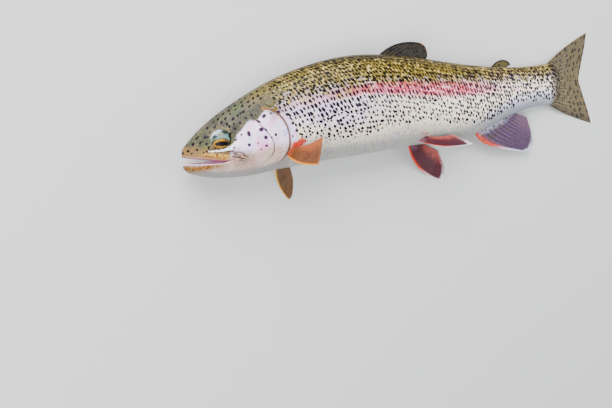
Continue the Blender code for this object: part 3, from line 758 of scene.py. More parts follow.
def buildSkin():
    lipRings, bodyRings = skinRings()
    rings = np.concatenate([lipRings, bodyRings])
    corner = len(lipRings) - 1
    upper = upperSections(rings, skin["upperColumns"])
    lower = lowerSections(rings, skin["lowerColumns"])
    upperArc = arcFrom(upper, np.zeros(len(rings)))
    lowerArc = arcFrom(lower, upperArc[:, -1])
    upperSkin, lowerSkin = outerSkin(upper, True), outerSkin(lower, False)
    lowerSkin[corner:, 0] = upperSkin[corner:, -1]
    palate = mouthGrid(upperSkin[: corner + 1, -1], True)
    floor = mouthGrid(lowerSkin[: corner + 1, 0], False)
    meet = skin["lipSteps"]  # at the corner the lips join, and the throat starts from the inner wall
    palate[-1, : meet + 1] = floor[-1, : meet + 1] = (palate[-1, : meet + 1] + floor[-1, : meet + 1]) / 2
    throats = [throatGrid(grid[-1, meet:]) for grid in (palate, floor)]
    linings = ((palate, "palate"), (floor, "floor"), (throats[0], "throat"), (throats[1], "throat"))
    surfaces = [(upperSkin, upperArc, None), (lowerSkin, lowerArc, None)]
    surfaces += [(grid, grid[..., 1] * 0.3, lining) for grid, lining in linings]
    pile = GridPile()
    for side in (1.0, -1.0):
        mirror = np.array([1.0, 1.0, side])
        for grid, arc, lining in surfaces:
            points = settle(place(grid * mirror), skin["floorGap"])
            pile.add(points, skinFields(grid, arc * side, lining), flip=(side > 0) == bool(lining))
    piece = pile.build("trout_skin")
    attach(piece, "root")
    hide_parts("head", "lower_jaw", "gill_cover_left", "gill_cover_right", "trunk", "tail")
    return piece


skinPiece = buildSkin()
print("skin", len(skinPiece.data.polygons), "faces")

# Sizes and heights are in metres, places on the body in body lengths
scales = {
    "lengthPitch": 0.00188,
    "rowPitch": (0.00098, 0.00126),  # near the lateral line and towards back and belly
    "outline": ((-0.55, 0.45), (-0.15, 0.95), (0.30, 1.02), (0.66, 0.84), (0.92, 0.48), (1.02, 0.0)),
    "middle": 0.35,  # where along the outline the top's middle lies
    "overlap": 1.02,
    "rowOverlap": 1.04,
    "rootHeight": -0.00010,
    "edgeHeight": 0.00009,
    "middleRise": 0.00004,
    "sideFall": 0.00003,
    "footHeight": -0.00034,
    "floorGap": 0.00002,
    "from": 0.183,
    "to": 1.026,
    "lineRise": 0.004,  # the lateral line's height over the body's widest line
    "rowsTo": 0.075,  # rows are laid out this far from the lateral line
    "widePitchAt": 0.03,  # and have their far pitch from here on
    "fullGirth": 0.088,  # where the half girth is less, the rows are narrower
    "narrowing": (0.45, 1.05),
    "bellyGap": 0.0006,
    "edgeGap": 0.002,
    "edgeStand": 0.15,  # the share of their height at which the first scales behind the gills stand
    "edgeReach": 0.024,  # and how much further back they stand at all of it
    "turned": 0.07,  # how unlike the scales are: radians, then shares of length and height
    "stretched": 0.05,
    "uneven": 0.2,
    "rootShare": 0.15,  # how far a scale's masks are those of its root, so that marks end on scales
    "patch": 0.003,
    "sharpFrom": 38.0,
    "seed": 11,
    "parts": {"front": (0.18, 0.45), "middle": (0.45, 0.72), "rear": (0.72, 1.03)},
}


class BodyWrap:
    # the smooth body unrolled: a place along and an arc from the ridge give a point and its normal
    def __init__(self, rings=431, half=90, columns=360):
        self.columns = columns
        self.rings = np.linspace(0.17, 1.03, rings)
        upper, lower = upperSections(self.rings, half), lowerSections(self.rings, half)
        grid = np.concatenate([upper, lower[:, 1:]], axis=1)
        normal = np.concatenate([outward(upper, True), outward(lower, False)[:, 1:]], axis=1)
        arc = arcFrom(grid, np.zeros(len(grid)))
        self.girth = arc[:, -1]
        self.middle = arc[:, half]
        share = np.linspace(0.0, 1.0, columns + 1)
        self.points = np.empty((rings, columns + 1, 3))
        self.normals = np.empty_like(self.points)
        for ring in range(rings):
            at = share * self.girth[ring]
            for axis in range(3):
                self.points[ring, :, axis] = np.interp(at, arc[ring], grid[ring, :, axis])
                self.normals[ring, :, axis] = np.interp(at, arc[ring], normal[ring, :, axis])

    def look(self, table, along, arc):
        row = np.clip((along - self.rings[0]) / (self.rings[1] - self.rings[0]), 0, len(self.rings) - 1.001)
        low = row.astype(int)
        part = (row - low)[..., None]
        girth = self.girth[low] * (1 - part[..., 0]) + self.girth[low + 1] * part[..., 0]
        column = np.clip(arc / girth, 0.0, 0.9999) * self.columns
        left = column.astype(int)
        over = (column - left)[..., None]
        first = table[low, left] * (1 - over) + table[low, left + 1] * over
        second = table[low + 1, left] * (1 - over) + table[low + 1, left + 1] * over
        return first * (1 - part) + second * part


wrap = BodyWrap()


def scaleRoots():
    # (along, arc, row pitch) of every scale's root, in staggered rows out from the lateral line
    roots = []
    pitch = scales["lengthPitch"] / trout["length"]
    near, far = scales["rowPitch"]
    most = int(1.0 / pitch)
    for direction in (-1, 1):
        offset, row = (0.0, 0) if direction < 0 else (near, 1)
        while offset < scales["rowsTo"]:
            rowPitch = near + (far - near) * min(offset / scales["widePitchAt"], 1.0)
            along = scales["from"] + pitch * (np.arange(most) + 0.5 * (row % 2))
            along = along[along < scales["to"]]
            middle = np.interp(along, wrap.rings, wrap.middle)
            girth = np.interp(along, wrap.rings, wrap.girth)
            narrowing = np.clip(girth / scales["fullGirth"], *scales["narrowing"])
            arc = middle - scales["lineRise"] + direction * offset * narrowing
            keep = (arc > 0.0) & (arc < girth - scales["bellyGap"])
            roots.append(np.stack([along, arc, rowPitch * narrowing], -1)[keep])
            offset += rowPitch
            row += 1
    return np.concatenate(roots)


def rootsBetween(first, last):
    # the roots that have scales, and how high each stands: flatter behind the gills
    along, arc, rowPitch = allRoots[(allRoots[:, 0] >= first) & (allRoots[:, 0] < last)].T
    point = wrap.look(wrap.points, along, arc)
    fromGill, side, _ = nearLine(point[:, 0], point[:, 1], lines["scaledFrom"])
    keep = (side > 0) & (fromGill > scales["edgeGap"]) | (along > skin["fineTo"])
    along, arc, rowPitch, fromGill = (values[keep] for values in (along, arc, rowPitch, fromGill))
    risen = smoothStep((fromGill - scales["edgeGap"]) / scales["edgeReach"])
    stand = np.where(along > 0.35, 1.0, scales["edgeStand"] + (1.0 - scales["edgeStand"]) * risen)
    return along[:, None], arc[:, None], rowPitch[:, None], stand[:, None]


def scaleOutline():
    half = list(scales["outline"])
    return np.array(half + [(u, -v) for u, v in half[-2::-1]])


def scaleFaces(corners):
    # a fan over the raised top, walls down from its edge and a fan under the foot
    ring = np.arange(corners)
    after = (ring + 1) % corners
    foot, footAfter = ring + corners + 1, after + corners + 1
    top = np.stack([ring, after, np.full(corners, corners)], -1)
    walls = [np.stack([ring, foot, footAfter], -1), np.stack([ring, footAfter, after], -1)]
    under = np.stack([np.full(corners - 2, corners + 1), foot[2:], foot[1:-1]], -1)
    return np.concatenate([top, *walls, under])


def scalePlaces(along, arc, rowPitch, stand, u, v, rng):
    # where each scale's points lie on the unrolled flank, and how high over the smooth body
    count, corners = len(along), len(u) // 2
    turn = rng.normal(0.0, scales["turned"], count)[:, None]
    stretch = 1.0 + rng.normal(0.0, scales["stretched"], count)[:, None]
    pitch = scales["lengthPitch"] * scales["overlap"]
    du = (u * np.cos(turn) - v * np.sin(turn) * 0.6) * pitch * stretch
    dv = (v * np.cos(turn) + u * np.sin(turn) * 0.6) * rowPitch * scales["rowOverlap"]
    height = scales["rootHeight"] + (scales["edgeHeight"] - scales["rootHeight"]) * (u + 0.55) / 1.55
    height = height - scales["sideFall"] * np.abs(v) ** 2
    height = np.tile(height, (count, 1)) * (1.0 + scales["uneven"] * (rng.random((count, 1)) - 0.5))
    height = np.where(height > 0, height * stand, height)
    height[:, corners] += scales["middleRise"]
    height[:, corners + 1 :] = scales["footHeight"]
    return along + du / trout["length"], np.maximum(arc + dv, 0.0), height


def addScaleChart(piece, along, arc, u, v, first, last, faces):
    # every scale is a small patch at its root's place on the unrolled flank
    centreU = 0.01 + 0.98 * (along - first) / (last - first + 0.004)
    centreV = 0.01 + 0.98 * arc / wrap.girth.max()
    patchU = centreU + scales["patch"] * (u - 0.2) / 1.6
    patchV = centreV + scales["patch"] * v / 2.0
    chart = np.stack([patchU, patchV], -1).reshape(-1, 2)
    layer = piece.data.uv_layers.new(name="OFBake")
    layer.data.foreach_set("uv", chart[faces.ravel()].astype(np.float32).ravel())


def buildCoat(name, side, first, last, seed):
    rng = np.random.default_rng(seed)
    along, arc, rowPitch, stand = rootsBetween(first, last)
    outline = scaleOutline()
    count, corners = len(along), len(outline)
    u = np.concatenate([outline[:, 0], [scales["middle"]], outline[:, 0]])
    v = np.concatenate([outline[:, 1], [0.0], outline[:, 1]])
    atAlong, atArc, height = scalePlaces(along, arc, rowPitch, stand, u, v, rng)
    lift = wrap.look(wrap.normals, atAlong, atArc) * (height[..., None] / trout["length"])
    places = wrap.look(wrap.points, atAlong, atArc) + lift
    ofRoot, own = scales["rootShare"], 1.0 - scales["rootShare"]
    fields = paintFields(places * own + wrap.look(wrap.points, along, arc) * ofRoot)
    mixedAlong = (atAlong * own + along * ofRoot) * trout["length"]
    mixedArc = (atArc * own + arc * ofRoot) * side
    fields["flankPlace"] = np.stack([mixedAlong, mixedArc, 0.0 * mixedArc], -1)
    rimmed = np.ones((count, u.size))
    rimmed[:, corners] = 0.0
    fields["scaleTone"] = np.stack([rng.random(count)[:, None] + 0.0 * rimmed, rimmed, 0.0 * rimmed], -1)
    points = settle(place(places * np.array([1.0, 1.0, side])), scales["floorGap"])
    faces = scaleFaces(corners)[:, ::-1] if side < 0 else scaleFaces(corners)
    faces = (faces[None] + (np.arange(count) * u.size)[:, None, None]).reshape(-1, 3)
    fields = {key: values.reshape(-1, 3) for key, values in fields.items()}
    piece = finishMesh(name, points.reshape(-1, 3), faces.tolist(), fields, merge=False)
    piece.data.set_sharp_from_angle(angle=math.radians(scales["sharpFrom"]))
    addScaleChart(piece, along, arc, u, v, first, last, faces)
    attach(piece, "root")
    return piece


coatPieces = []
allRoots = scaleRoots()
for sideName, side, firstSeed in (("left", 1.0, 0), ("right", -1.0, 10)):
    for index, (part, (first, last)) in enumerate(scales["parts"].items()):
        label = "trout_scales_" + sideName + "_" + part
        coatPieces.append(buildCoat(label, side, first, last, scales["seed"] + index + firstSeed))
print("scales", [len(piece.data.polygons) for piece in coatPieces])

# Each fin's root, bow and tip lines go from its leading to its trailing ray, as (along, up, out)
fins = {
    "dorsal_fin": {
        "root": ((0.479, 0.113, 0.0), (0.542, 0.102, 0.0), (0.606, 0.095, 0.0)),
        "bow": ((0.533, 0.142, -0.001), (0.581, 0.121, -0.001), (0.612, 0.101, 0.0)),
        "tip": ((0.601, 0.141, -0.003), (0.616, 0.129, -0.003), (0.617, 0.107, 0.0)),
        "rays": 13, "slot": "dark_fin", "look": "dorsal",
    },
    "adipose_fin": {
        "root": ((0.803, 0.061, 0.0), (0.829, 0.059, 0.0), (0.852, 0.056, 0.0)),
        "bow": ((0.822, 0.077, 0.0), (0.849, 0.072, 0.0), (0.862, 0.064, 0.0)),
        "tip": ((0.842, 0.082, -0.001), (0.863, 0.078, -0.001), (0.871, 0.067, 0.0)),
        "rays": 0, "thickness": (0.0030, 0.0011), "fill": 0.95, "slot": "dark_fin", "look": "adipose",
    },
    "anal_fin": {
        "root": ((0.744, -0.092, 0.0), (0.812, -0.072, 0.0), (0.866, -0.053, 0.0)),
        "bow": ((0.789, -0.131, -0.001), (0.866, -0.106, 0.0), (0.892, -0.063, 0.0)),
        "tip": ((0.904, -0.162, -0.003), (0.931, -0.143, -0.002), (0.916, -0.073, 0.0)),
        "rays": 12, "slot": "violet_fin", "look": "violet",
    },
    "pelvic_fin_left": {
        "root": ((0.551, -0.085, 0.022), (0.556, -0.080, 0.024), (0.563, -0.075, 0.0255)),
        "bow": ((0.614, -0.109, 0.044), (0.608, -0.097, 0.044), (0.597, -0.084, 0.0415)),
        "tip": ((0.701, -0.115, 0.044), (0.676, -0.101, 0.044), (0.644, -0.084, 0.041)),
        "rays": 9, "slot": "violet_fin", "look": "mauve",
    },
    "pelvic_fin_right": {
        "root": ((0.553, -0.088, -0.018), (0.564, -0.089, -0.018), (0.574, -0.089, -0.017)),
        "bow": ((0.592, -0.161, -0.044), (0.620, -0.146, -0.044), (0.623, -0.110, -0.040)),
        "tip": ((0.669, -0.212, -0.053), (0.677, -0.181, -0.052), (0.660, -0.128, -0.0465)),
        "rays": 9, "slot": "violet_fin", "look": "mauve",
    },
    "pectoral_fin_left": {
        "root": ((0.222, -0.060, 0.037), (0.225, -0.054, 0.040), (0.229, -0.047, 0.043)),
        "bow": ((0.232, -0.081, 0.080), (0.252, -0.067, 0.080), (0.264, -0.048, 0.072)),
        "tip": ((0.266, -0.089, 0.125), (0.276, -0.068, 0.122), (0.294, -0.034, 0.105)),
        "rays": 12, "slot": "amber_fin", "look": "amber",
    },
    "pectoral_fin_right": {
        "root": ((0.222, -0.060, -0.037), (0.228, -0.060, -0.039), (0.236, -0.062, -0.041)),
        "bow": ((0.206, -0.119, -0.0515), (0.224, -0.116, -0.0515), (0.244, -0.100, -0.0505)),
        "tip": ((0.224, -0.178, -0.056), (0.237, -0.168, -0.056), (0.247, -0.132, -0.056)),
        "rays": 12, "slot": "amber_fin", "look": "umber",
    },
    "tail_fin": {
        "start": 0.985, "middle": 0.004, "rootHalf": 0.050, "lobe": 0.168, "fork": 0.118, "spread": 30.0,
        "sink": 0.011, "rays": 19, "thickness": (0.0040, 0.0006), "slot": "dark_fin", "look": "tail",
    },
}
finShape = {
    "stepsPerRay": 8,
    "leastColumns": 24,
    "reachSteps": 56,
    "thickness": (0.0022, 0.0006),  # metres at the root and at the edge, as in the solids
    "fill": 0.80,  # share of that thickness that the fin takes, so that it lies inside its solid
    "rim": 0.30,  # share that is left at the leading and trailing edges
    "rimReach": 0.025,
    "thinnest": 0.00012,
    "ridge": 0.00016,
    "notch": 0.35,  # how deep the web is cut back between the rays' tips, in steps
    "branchFrom": 0.45,
    "topGap": 0.0005,  # metres over the floor
    "bottomGap": 0.00005,
}


def bendThree(three, share):
    # a bow through three points
    first, middle, last = (np.asarray(v, float) for v in three)
    share = np.asarray(share, float)[..., None]
    control = 2.0 * middle - 0.5 * (first + last)
    return (1 - share) ** 2 * first + 2 * share * (1 - share) * control + share**2 * last


def rayProfile(across, reach, rays):
    # 1 on a ray, 0 between; the rays fork as they run out
    if not rays:
        return np.zeros(np.broadcast(across, reach).shape)
    single = np.cos(math.pi * across * rays) ** 2
    forked = np.cos(2 * math.pi * across * rays + math.pi / 2) ** 2
    fork = smoothStep((reach - finShape["branchFrom"]) / 0.25)
    return single * (1 - fork) + forked * fork


def fanGrid(fin):
    columns = max(finShape["leastColumns"], fin["rays"] * finShape["stepsPerRay"])
    across = np.linspace(0.0, 1.0, columns + 1)
    reach = np.linspace(0.0, 1.0, finShape["reachSteps"] + 1)
    root, bow, tip = (bendThree(fin[key], across) for key in ("root", "bow", "tip"))
    grid = np.array([bendThree((root[i], bow[i], tip[i]), reach) for i in range(len(across))])
    return grid, across[:, None], reach[None, :]


def tailGrid(fin):
    share = np.linspace(-1.0, 1.0, fin["rays"] * finShape["stepsPerRay"] + 1)[:, None]
    reach = np.linspace(0.0, 1.0, finShape["reachSteps"] + 1)[None, :]
    angle = np.radians(fin["spread"]) * share * (1.0 - 0.15 * reach)
    length = fin["fork"] + (fin["lobe"] - fin["fork"]) * np.abs(share) ** 1.4
    far = length * (2.0 - fin["start"]) * reach
    along = fin["start"] + far * np.cos(angle)
    up = fin["middle"] + fin["rootHalf"] * share + far * np.sin(angle)
    out = -fin["sink"] * smoothStep(reach * 1.5) + 0 * far
    return np.stack([along, up, out], -1), (share + 1) / 2, reach


def finSolid(name, fin, grid, across, reach):
    ridge = rayProfile(across, reach, fin["rays"]) * np.ones(grid.shape[:2])
    sheet = place(grid)
    outerEdge = sheet - np.roll(sheet, 1, axis=1)
    sheet[:, -1] -= outerEdge[:, -1] * (1.0 - ridge[:, -1])[:, None] * finShape["notch"]
    normal = np.cross(np.gradient(sheet, axis=0), np.gradient(sheet, axis=1))
    normal /= np.linalg.norm(normal, axis=2)[..., None] * np.sign(normal[..., 2].mean())
    thick, thin = fin.get("thickness", finShape["thickness"])
    half = (thick + (thin - thick) * np.sqrt(reach)) / 2 * np.ones(grid.shape[:2])
    half = half * fin.get("fill", finShape["fill"])
    inwards = smoothStep(np.minimum(across, 1 - across) / finShape["rimReach"])
    half = half * (finShape["rim"] + (1.0 - finShape["rim"]) * inwards)
    half = np.maximum(half - finShape["ridge"] * (1.0 - ridge) * (fin["rays"] > 0), finShape["thinnest"])
    rows, columns = grid.shape[:2]
    fields = {
        "finPlace": np.stack([across * np.ones_like(half), reach * np.ones_like(half), ridge], -1),
        "flankPlace": grid * trout["length"],
    }
    pile = GridPile()
    pile.add(settle(sheet + normal * half[..., None], finShape["topGap"]), fields)
    pile.add(settle(sheet - normal * half[..., None], finShape["bottomGap"]), fields, flip=True)
    index = np.arange(rows * columns).reshape(rows, columns)
    rim = np.concatenate([index[:, 0], index[-1, 1:], index[-2::-1, -1], index[0, -2:0:-1]])
    low = rim + rows * columns
    pile.faces += np.stack([rim, low, np.roll(low, -1), np.roll(rim, -1)], -1).tolist()
    piece = pile.build("trout_" + name)
    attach(piece, "root")
    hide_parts(name)
    return piece


finPieces = {}
for name, fin in fins.items():
    grids = tailGrid(fin) if name == "tail_fin" else fanGrid(fin)
    finPieces[name] = finSolid(name, fin, *grids)
print("fins", sum(len(piece.data.polygons) for piece in finPieces.values()), "faces")


def unitBall(name, segments, rings):
    # a ball and where its points are on the unit sphere
    bpy.ops.mesh.primitive_uv_sphere_add(segments=segments, ring_count=rings, radius=1.0)
    piece = bpy.context.object
    piece.name = name
    unit = np.empty(len(piece.data.vertices) * 3)
    piece.data.vertices.foreach_get("co", unit)
    return piece, unit.reshape(-1, 3)


def buildEye(side, sideName):
    axis = np.array(eyes["axis"]) / np.linalg.norm(eyes["axis"])
    acrossEye = np.cross((0.0, 1.0, 0.0), axis)
    acrossEye /= np.linalg.norm(acrossEye)
    upright = np.cross(axis, acrossEye)
    piece, unit = unitBall("trout_eye_" + sideName, 96, 64)
    mesh = piece.data
    flat = (acrossEye * unit[:, :1] + upright * unit[:, 1:2]) * eyes["radius"] * eyes["fill"]
    places = np.array(eyes["centre"]) + flat + axis * unit[:, 2:] * eyes["halfDepth"] * eyes["fill"]
    mesh.vertices.foreach_set("co", place(places * np.array([1.0, 1.0, side])).ravel())
    layer = mesh.attributes.new("gaze", "FLOAT_VECTOR", "POINT")
    layer.data.foreach_set("vector", unit.astype(np.float32).ravel())
    if side < 0:
        mesh.flip_normals()
    mesh.shade_smooth()
    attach(piece, "root")
    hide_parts("eye_" + sideName)
    return piece


tongue = {
    "middle": 0.064,
    "halfLength": 0.032,
    "halfWidth": 0.0125,
    "halfHeight": 0.0050,
    "overFloor": 0.0085,
    "groove": 0.0012,
}


def buildTongue():
    piece, unit = unitBall("trout_tongue", 48, 24)
    mesh = piece.data
    x, y, z = unit.T
    along = tongue["middle"] + tongue["halfLength"] * x
    groove = tongue["groove"] * hump(y, 0.25) * (z > 0)
    floor = form("widest", along) - openAt(along) - mouth["floorDrop"]
    up = floor + tongue["overFloor"] + tongue["halfHeight"] * z - groove
    out = tongue["halfWidth"] * y * (1.0 + 0.25 * x)
    mesh.vertices.foreach_set("co", place(np.stack([along, up, out], -1)).ravel())
    mesh.flip_normals()
    mesh.shade_smooth()
    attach(piece, "root")
    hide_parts("tongue")
    return piece


eyePieces = [buildEye(1.0, "left"), buildEye(-1.0, "right")]
tonguePiece = buildTongue()
print("eyes and tongue")


class Wire:
    # a node's output that takes arithmetic, so that a material reads like a sum
    def __init__(self, tree, socket=None):
        self.tree, self.socket = tree, socket

    def node(self, kind, settings=None, inputs=None, output=0):
        made = self.tree.nodes.new(kind)
        for key, value in (settings or {}).items():
            setattr(made, key, value)
        for key, value in (inputs or {}).items():
            if isinstance(value, Wire):
                self.tree.links.new(value.socket, made.inputs[key])
            else:
                made.inputs[key].default_value = value
        return Wire(self.tree, made.outputs[output])

    def sister(self, output):
        # another output of the same node
        return Wire(self.tree, self.socket.node.outputs[output])

    def maths(self, operation, *values, clamp=False):
        settings = {"operation": operation, "use_clamp": clamp}
        return self.node("ShaderNodeMath", settings, dict(enumerate(values)))

    def __add__(self, other):
        return self.maths("ADD", self, other)

    __radd__ = __add__

    def __mul__(self, other):
        return self.maths("MULTIPLY", self, other)

    __rmul__ = __mul__

    def __sub__(self, other):
        return self.maths("SUBTRACT", self, other)

    def __rsub__(self, other):
        return self.maths("SUBTRACT", other, self)

    def __truediv__(self, other):
        return self.maths("DIVIDE", self, other)

    def root(self):
        return self.maths("SQRT", self)

    def larger(self, other):
        return self.maths("MAXIMUM", self, other)

    def held(self):
        # kept between 0 and 1
        return self.maths("MULTIPLY", self, 1.0, clamp=True)

    def ramp(self, low, high, start=0.0, end=1.0):
        # smooth from start at low to end at high
        keys = {"Value": self, "From Min": low, "From Max": high, "To Min": start, "To Max": end}
        return self.node("ShaderNodeMapRange", {"interpolation_type": "SMOOTHSTEP"}, keys)

    def attribute(self, name):
        return self.node("ShaderNodeAttribute", {"attribute_name": name}, None, "Vector")

    def parts(self):
        first = self.node("ShaderNodeSeparateXYZ", None, {0: self})
        return [first.sister(index) for index in range(3)]

    def vector(self, x, y, z):
        return self.node("ShaderNodeCombineXYZ", None, {0: x, 1: y, 2: z})

    def scaled(self, other):
        return self.node("ShaderNodeVectorMath", {"operation": "MULTIPLY"}, {0: self, 1: other})

    def shifted(self, other):
        return self.node("ShaderNodeVectorMath", {"operation": "ADD"}, {0: self, 1: other})

    def noise(self, scale, detail=2.0, output="Fac", roughness=0.5):
        keys = {"Vector": self, "Scale": scale, "Detail": detail, "Roughness": roughness}
        return self.node("ShaderNodeTexNoise", None, keys, output)


class Paint:
    # a colour under way: each tone is laid over what is there, fully where its mask is 1
    def __init__(self, wire, tones, start):
        self.wire, self.tones = wire, tones
        self.colour = self.named(start)

    def named(self, tone):
        if isinstance(tone, Paint):
            return tone.colour
        return tone if isinstance(tone, Wire) else tint(self.tones[tone])

    def lay(self, mask, tone):
        inputs = {0: mask, 6: self.colour, 7: self.named(tone)}
        self.colour = self.wire.node("ShaderNodeMix", {"data_type": "RGBA"}, inputs, 2)
        return self

    def shade(self, light):
        self.colour = self.colour.scaled(self.wire.vector(light, light, light))


def tint(colour):
    # a colour as seen, 0 to 255, to the linear values that shading takes
    parts = [c / 255 for c in colour]
    return (*[c / 12.92 if c <= 0.04045 else ((c + 0.055) / 1.055) ** 2.4 for c in parts], 1.0)


def newMaterial(name, settings):
    made = bpy.data.materials.new(name)
    made.use_nodes = True
    tree = made.node_tree
    shader = next(node for node in tree.nodes if node.type == "BSDF_PRINCIPLED")
    for key, value in settings.items():
        shader.inputs[key].default_value = value
    return made, Wire(tree), shader


def connect(wire, shader, inputs):
    for key, value in inputs.items():
        wire.tree.links.new(value.socket, shader.inputs[key])


# Marks in staggered rows. gap and half are metres along and round the body: how far apart the marks
# stand and half a mark's size. lean shears the rows and loose moves the marks out of them.
markRows = {
    "upper": {"gap": (0.0029, 0.0035), "half": (0.00114, 0.00148), "lean": 0.5, "loose": 0.45, "seed": 0.0},
    "middle": {"gap": (0.0032, 0.0047), "half": (0.00106, 0.00205), "lean": 0.34, "loose": 0.45, "seed": 0.37},
    "lower": {"gap": (0.0035, 0.0038), "half": (0.00108, 0.00130), "lean": 0.28, "loose": 0.66, "seed": 0.71},
    "crown": {"gap": (0.0048, 0.0044), "half": (0.00108, 0.00108), "lean": 0.0, "loose": 0.40, "seed": 0.13},
    "fin": {"gap": (0.0042, 0.0046), "half": (0.0013, 0.0010), "lean": 0.0, "loose": 0.7, "seed": 0.11},
}


def rowMarks(wire, at, kind, density, size=1.0):
    # density is the share of places that hold a mark, size makes them all larger or smaller
    rows = markRows[kind]
    cell, half, seed = rows["gap"], rows["half"], rows["seed"]
    along, arc, _ = at.parts()
    down = wire.maths("ABSOLUTE", arc)
    x = (along - down * rows["lean"]) / cell[0] + wire.maths("SIGN", arc) * 3.7 + seed
    y = down / cell[1] + seed * 1.7
    keys = {"Vector": wire.vector(x, y, 0.0), "Scale": 1.0, "Randomness": rows["loose"]}
    cells = wire.node("ShaderNodeTexVoronoi", {"voronoi_dimensions": "2D"}, keys, "Position")
    middle = cells.parts()
    luck = cells.sister("Color").parts()
    u = (x - middle[0]) * (cell[0] / half[0])
    v = (y - middle[1]) * (cell[1] / half[1])
    far = (u * u + v * v).root()
    shown = (density - luck[0] * 0.8).ramp(0.0, 0.30)
    return ((luck[1] * 0.5 + 0.75) * shown * size - far).ramp(-0.12, 0.14) * shown.ramp(0.0, 0.3)


fishColours = {
    "flank": (230, 220, 216),
    "flankLight": (254, 250, 247),
    "flankDark": (190, 178, 178),
    "cream": (238, 222, 172),
    "lilac": (206, 190, 232),
    # painted shade: belly and throat are laid a darker, cooler grey than the underside's own silver-white, for
    # the shade under the fish
    "belly": (128, 134, 139),
    "throat": (134, 136, 136),
    "stripe": (206, 50, 98),
    "stripeDeep": (182, 24, 42),
    "stripePale": (246, 168, 206),
    "olive": (107, 89, 13),
    "oliveDark": (70, 57, 13),
    # pale olive: partly paler scales and flecks, partly painted glints on the back
    "paleOliveAndGlint": (228, 204, 120),
    "ridge": (56, 46, 28),
    "headTop": (84, 79, 62),
    "headDark": (56, 55, 50),
    "headGreen": (72, 82, 54),
    "tan": (146, 108, 50),
    "cheek": (238, 221, 248),
    "cheekPink": (230, 150, 204),
    "cheekBlue": (180, 184, 244),
    "cheekCream": (176, 150, 104),
    "gold": (160, 100, 20),
    "goldPale": (190, 150, 70),
    "rim": (104, 74, 44),
    "crease": (66, 50, 36),
    "lipPink": (168, 118, 120),
    "brown": (84, 60, 38),
    "ink": (8, 6, 7),
    "purpleInk": (24, 9, 30),
    "cheekInk": (46, 18, 46),
    "jawInk": (84, 44, 18),
    "blush": (190, 30, 6),
    "white": (246, 242, 246),
    "ochre": (130, 90, 34),
    # the mouth's lining, laid paler than its own lilac-pink: painted light against the shade inside the mouth
    "mouth": (246, 196, 230),
    # dark maroon of the upper lip, partly its own colour and partly painted shade of the mouth's gap
    "upperLipAndShade": (112, 44, 56),
    "lowerLip": (240, 226, 238),
    "tailWeb": (66, 59, 41),
    "tailRay": (114, 101, 70),
}


def readBody(wire):
    # the masks that skin and scales carry, and the noise that breaks up every tone
    on = SimpleNamespace(wire=wire, at=wire.attribute("flankPlace"))
    on.along, on.arc, _ = on.at.parts()
    on.back, on.stripe, on.low = wire.attribute("zones").parts()
    on.rim, on.crease, on.bare = wire.attribute("edges").parts()
    on.bone, on.slip, on.folds = wire.attribute("face").parts()
    on.cheekInk, on.snoutInk, on.jawInk = wire.attribute("spots").parts()
    on.jaw, on.brown, on.blush = wire.attribute("tints").parts()
    on.under, on.head, on.mouth = wire.attribute("under").parts()
    on.lip, on.brow, on.tail = wire.attribute("lip").parts()
    on.large, on.lowerMouth, on.pastSnout = wire.attribute("sizes").parts()
    on.tone, on.rimmed, _ = wire.attribute("scaleTone").parts()
    on.broad = on.at.noise(110.0, 3.0)
    on.wide = on.at.shifted((0.7, 0.2, 0.0)).noise(70.0, 2.0)
    on.patchy = on.at.noise(420.0, 2.0)
    on.fine = on.at.noise(850.0, 2.0)
    on.grain = on.at.noise(2600.0, 1.0)
    # fine specks that carry painted glints on the back and the nape
    on.specks = on.at.noise(1700.0, 1.0).ramp(0.55, 0.68)
    on.body = 1.0 - on.head
    on.ripple = (on.fine - 0.5) * 0.30
    return on


def paintFrom(on, start):
    return Paint(on.wire, fishColours, start)


def paintFlank(on):
    # each scale is its own silver, lighter and darker side by side
    flank = paintFrom(on, "flankDark").lay(on.tone.ramp(0.0, 0.22), "flank")
    flank.lay((on.tone * 0.75 + on.broad * 0.25).ramp(0.25, 0.70), "flankLight")
    flank.lay(on.at.noise(900.0, 1.0).ramp(0.58, 0.70) * 0.45, "flankDark")
    lilac = (on.wide * 0.8 + on.tone * 0.3).ramp(0.40, 0.66) * on.low.ramp(1.0, 4.5)
    flank.lay(lilac * (on.along.ramp(0.19, 0.13) * 0.65 + 0.20) * on.body, "lilac")
    low = on.low.ramp(4.6, 1.6).larger(on.along.ramp(0.12, 0.19))
    flank.lay((on.broad * 0.6 + on.tone * 0.5).ramp(0.36, 0.66) * low * 0.70 * on.body, "cream")
    flank.lay(on.along.ramp(0.24, 0.31) * on.low.ramp(3.5, 0.5) * 0.55, "cheekBlue")
    # painted shade: the belly and the lowest flank are laid the dark belly grey
    return flank.lay((on.under * 0.75).larger(on.low.ramp(0.2, -2.6) * 0.42), "belly")


def paintStripe(on):
    pink = paintFrom(on, "stripeDeep").lay(on.tone.ramp(0.15, 0.60), "stripe")
    pink.lay(on.tone.ramp(0.66, 0.95), "stripePale")
    return pink.lay(on.stripe.ramp(0.80, 0.30) * on.along.ramp(0.20, 0.12, 0.35, 0.60), "stripePale")


